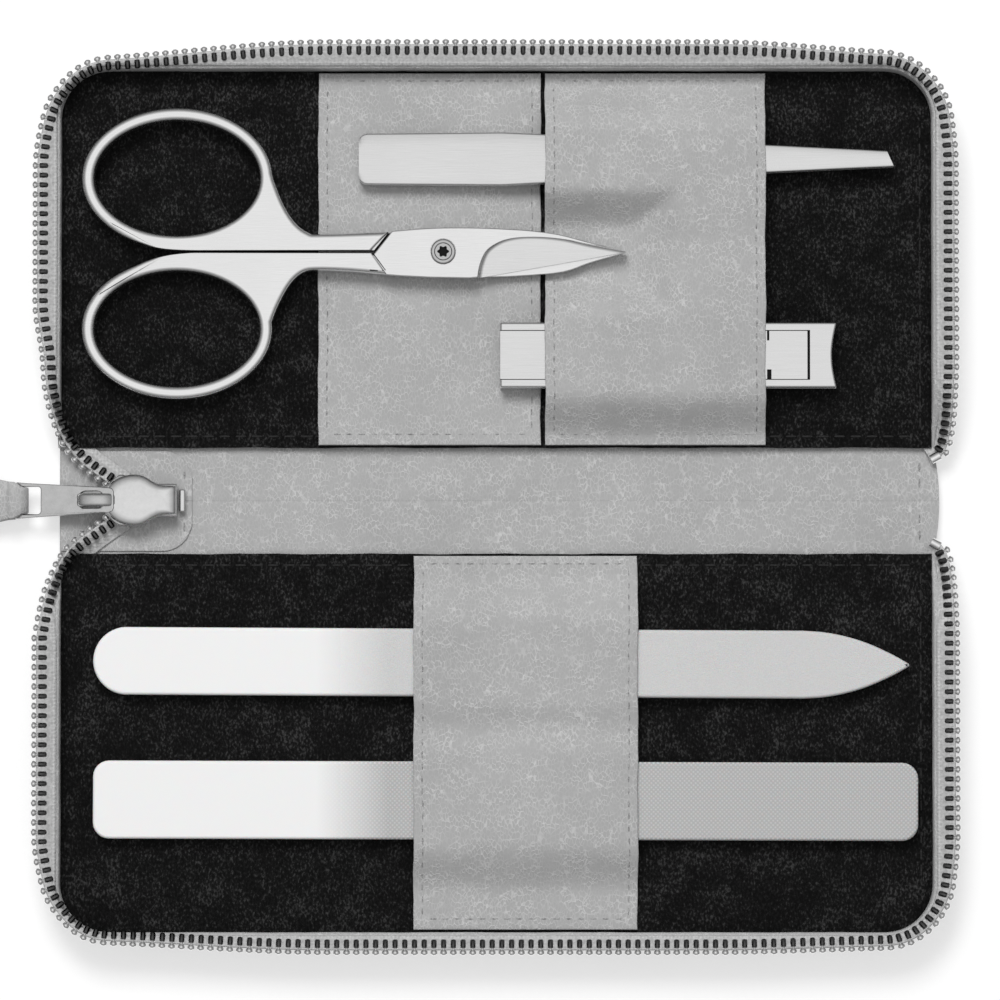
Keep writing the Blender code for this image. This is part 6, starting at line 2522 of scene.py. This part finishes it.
def build_bottom_stop(finishes: CaseFinishes) -> Piece:
    """The small metal stop that ends the zip under the slider.

    Args:
        finishes: The case's finishes.

    Returns:
        The piece.
    """
    low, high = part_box("zip_bottom_stop")
    stop = boxed("zip_end_stop", (low.x, high.x), (low.y, high.y), (low.z, high.z)).round_edges(0.28 * MM, 4)
    return fitted(stop.end(finishes.plate), "zip_bottom_stop", "spine")


@dataclass
class Studio:
    """The white floor, the soft light and the camera over the open case."""

    view: float = 166.67 * MM
    aim: Point3 = (0.58 * MM, 0.08 * MM, 4.0 * MM)
    distance: float = 1.3
    tilt: float = math.radians(2.5)
    sensor: float = 36.0
    floor_reach: float = 1.5
    floor_glow: float = 0.56
    sky: Pairs = ((0.0, 0.12), (0.5, 0.28), (0.8, 0.52), (0.93, 0.76), (1.0, 1.10))
    sky_strength: float = 0.92
    lamp_place: Point3 = (-0.25, 1.0, 1.45)
    lamp_size: float = 0.7
    lamp_watts: float = 21.0

    def build_floor(self) -> None:
        """The floor, white to the camera, with the case's soft shadow on it."""
        tree = NodeTree("studio_floor")
        nodes = tree.tree.nodes
        tree.finish_with(tree.ramp(tree.noise(60.0, 2.0), (0.0, 0.49), (1.0, 0.51)), 0.9)
        path = tree.add("LightPath")
        seen = tree.maths("ADD", path.outputs["Is Camera Ray"], path.outputs["Is Glossy Ray"])
        seen = tree.maths("ADD", seen, path.outputs["Is Transmission Ray"])
        glow = tree.add("Emission", Color=(1.0, 1.0, 1.0, 1.0))
        tree.join(tree.maths("MULTIPLY", seen, self.floor_glow), glow.inputs["Strength"])
        both = tree.add("AddShader")
        tree.join(tree.shader.outputs[0], both.inputs[0])
        tree.join(glow.outputs[0], both.inputs[1])
        tree.join(both.outputs[0], nodes["Material Output"].inputs["Surface"])
        places = (-self.floor_reach, 0.0, self.floor_reach)
        upper, lower = [[[(x, y, z) for x in places] for y in places] for z in (-0.1 * MM, -2.0 * MM)]
        Shape().grid(upper, lower).piece("studio_floor", tree.material)

    def build_world(self) -> None:
        """A soft surround, brightest overhead."""
        world = bpy.data.worlds.new("studio")
        world.use_nodes = True
        nodes, links = world.node_tree.nodes, world.node_tree.links
        place = nodes.new("ShaderNodeTexCoord").outputs["Generated"]
        axes, ramp = nodes.new("ShaderNodeSeparateXYZ"), nodes.new("ShaderNodeValToRGB")
        links.new(place, axes.inputs[0])
        set_greys(ramp, self.sky)
        links.new(axes.outputs["Z"], ramp.inputs["Fac"])
        links.new(ramp.outputs["Color"], nodes["Background"].inputs["Color"])
        nodes["Background"].inputs["Strength"].default_value = self.sky_strength
        bpy.context.scene.world = world

    def build_lamp(self) -> None:
        """A square soft lamp that looks at the case."""
        lamp = bpy.data.lights.new("key_light", "AREA")
        lamp.shape = "SQUARE"
        lamp.size = self.lamp_size
        lamp.energy = self.lamp_watts
        item = shown("key_light", lamp)
        item.visible_glossy = False
        item.location = self.lamp_place
        item.rotation_euler = (Vector(self.aim) - Vector(self.lamp_place)).to_track_quat("-Z", "Y").to_euler()

    def build_camera(self) -> None:
        """The camera, almost straight above, with the case's top at the top of the picture."""
        camera = bpy.data.cameras.new("camera")
        camera.sensor_width = self.sensor
        camera.lens = self.sensor * self.distance / self.view
        camera.clip_start = 0.01
        item = shown("camera", camera)
        back = Vector((0.0, -math.sin(self.tilt), math.cos(self.tilt)))
        item.location = Vector(self.aim) + back * self.distance
        item.rotation_euler = (self.tilt, 0.0, 0.0)
        bpy.context.scene.camera = item

    def build(self) -> None:
        """Set up floor, light and camera."""
        self.build_floor()
        self.build_world()
        self.build_lamp()
        self.build_camera()
        bpy.context.scene.view_settings.view_transform = "Standard"


def main() -> None:
    """Build the case and its tools, and report each piece."""
    logging.basicConfig(level=logging.INFO, format="%(message)s")
    case = CaseFinishes(
        leather=GrainedLeather("grey_leather").make(),
        lining_leather=GrainedLeather("grey_lining_leather", shade=0.44, stretch=(1.35, 0.75, 1.0)).make(),
        suede=Suede("black_suede").make(),
        board=WovenTape("board_grey", 0.25, 900.0).make(),
        tape=WovenTape("zip_tape_grey", 0.52).make(),
        pale_thread=Thread("grey_thread", 0.30).make(),
        dark_thread=Thread("dark_thread", 0.018).make(),
        tooth_metal=PolishedPlate("tooth_metal", 0.90, 0.10).make(),
        plate=PolishedPlate("nickel_plate", 0.74).make(),
        # Painted shade: the teeth's legs are the same metal as the heads, drawn near-black.
        painted_leg_shade=PolishedPlate("tooth_leg_painted_shade", 0.09, 0.16).make(),
        # Painted shade: the slider's bridge is the same plate as the cap, drawn darker.
        painted_loop_shade=PolishedPlate("slider_loop_painted_shade", 0.58, 0.16).make(),
    )
    tools = ToolFinishes(
        steel=BrushedSteel("brushed_steel").make(),
        satin_steel=BrushedSteel("satin_steel", shade=0.77).make(),
        screw=PolishedPlate("screw_steel", 0.60, 0.2).make(),
        # Painted shade: near-black steel for the hollows of the scissors, the screw and the clipper.
        painted_shade=BrushedSteel("painted_shade_steel", shade=0.03, rough=0.5).make(),
        pointed_glass=EtchedGlass("pointed_glass", 0.71).make(),
        square_glass=EtchedGlass("square_glass", 0.52, 0.52 * MM, 0.55).make(),
    )
    pieces = []
    for side in Side:
        pieces += CaseHalf(side, case).build() + ZipSide(side, case).build()
    pieces += Spine(case).build() + [build_bottom_stop(case)]
    rear_tools = ("tweezers_lower_arm tweezers_upper_arm", "clipper_base clipper_frame clipper_lever")
    pressed = (36.8 * MM, 45.6 * MM, 22.5 * MM)
    pieces += Flap(Side.REAR, case, "rear_flap", (), 3.0).build()
    pieces += Strap(Side.REAR, case, "rear_strap", rear_tools, 5.0, pressed=pressed).build()
    pieces += Strap(Side.FRONT, case, "front_strap", ("pointed_glass_file", "square_glass_file"), 7.0).build()
    for group in (Slider(case), Scissors(tools), Tweezers(tools), NailClipper(tools), GlassFiles(tools)):
        pieces += group.build()
    for piece in pieces:
        LOG.info("built %s with %d faces", piece.name, len(piece.data.polygons))
    Studio().build()


if __name__ == "__main__":
    main()
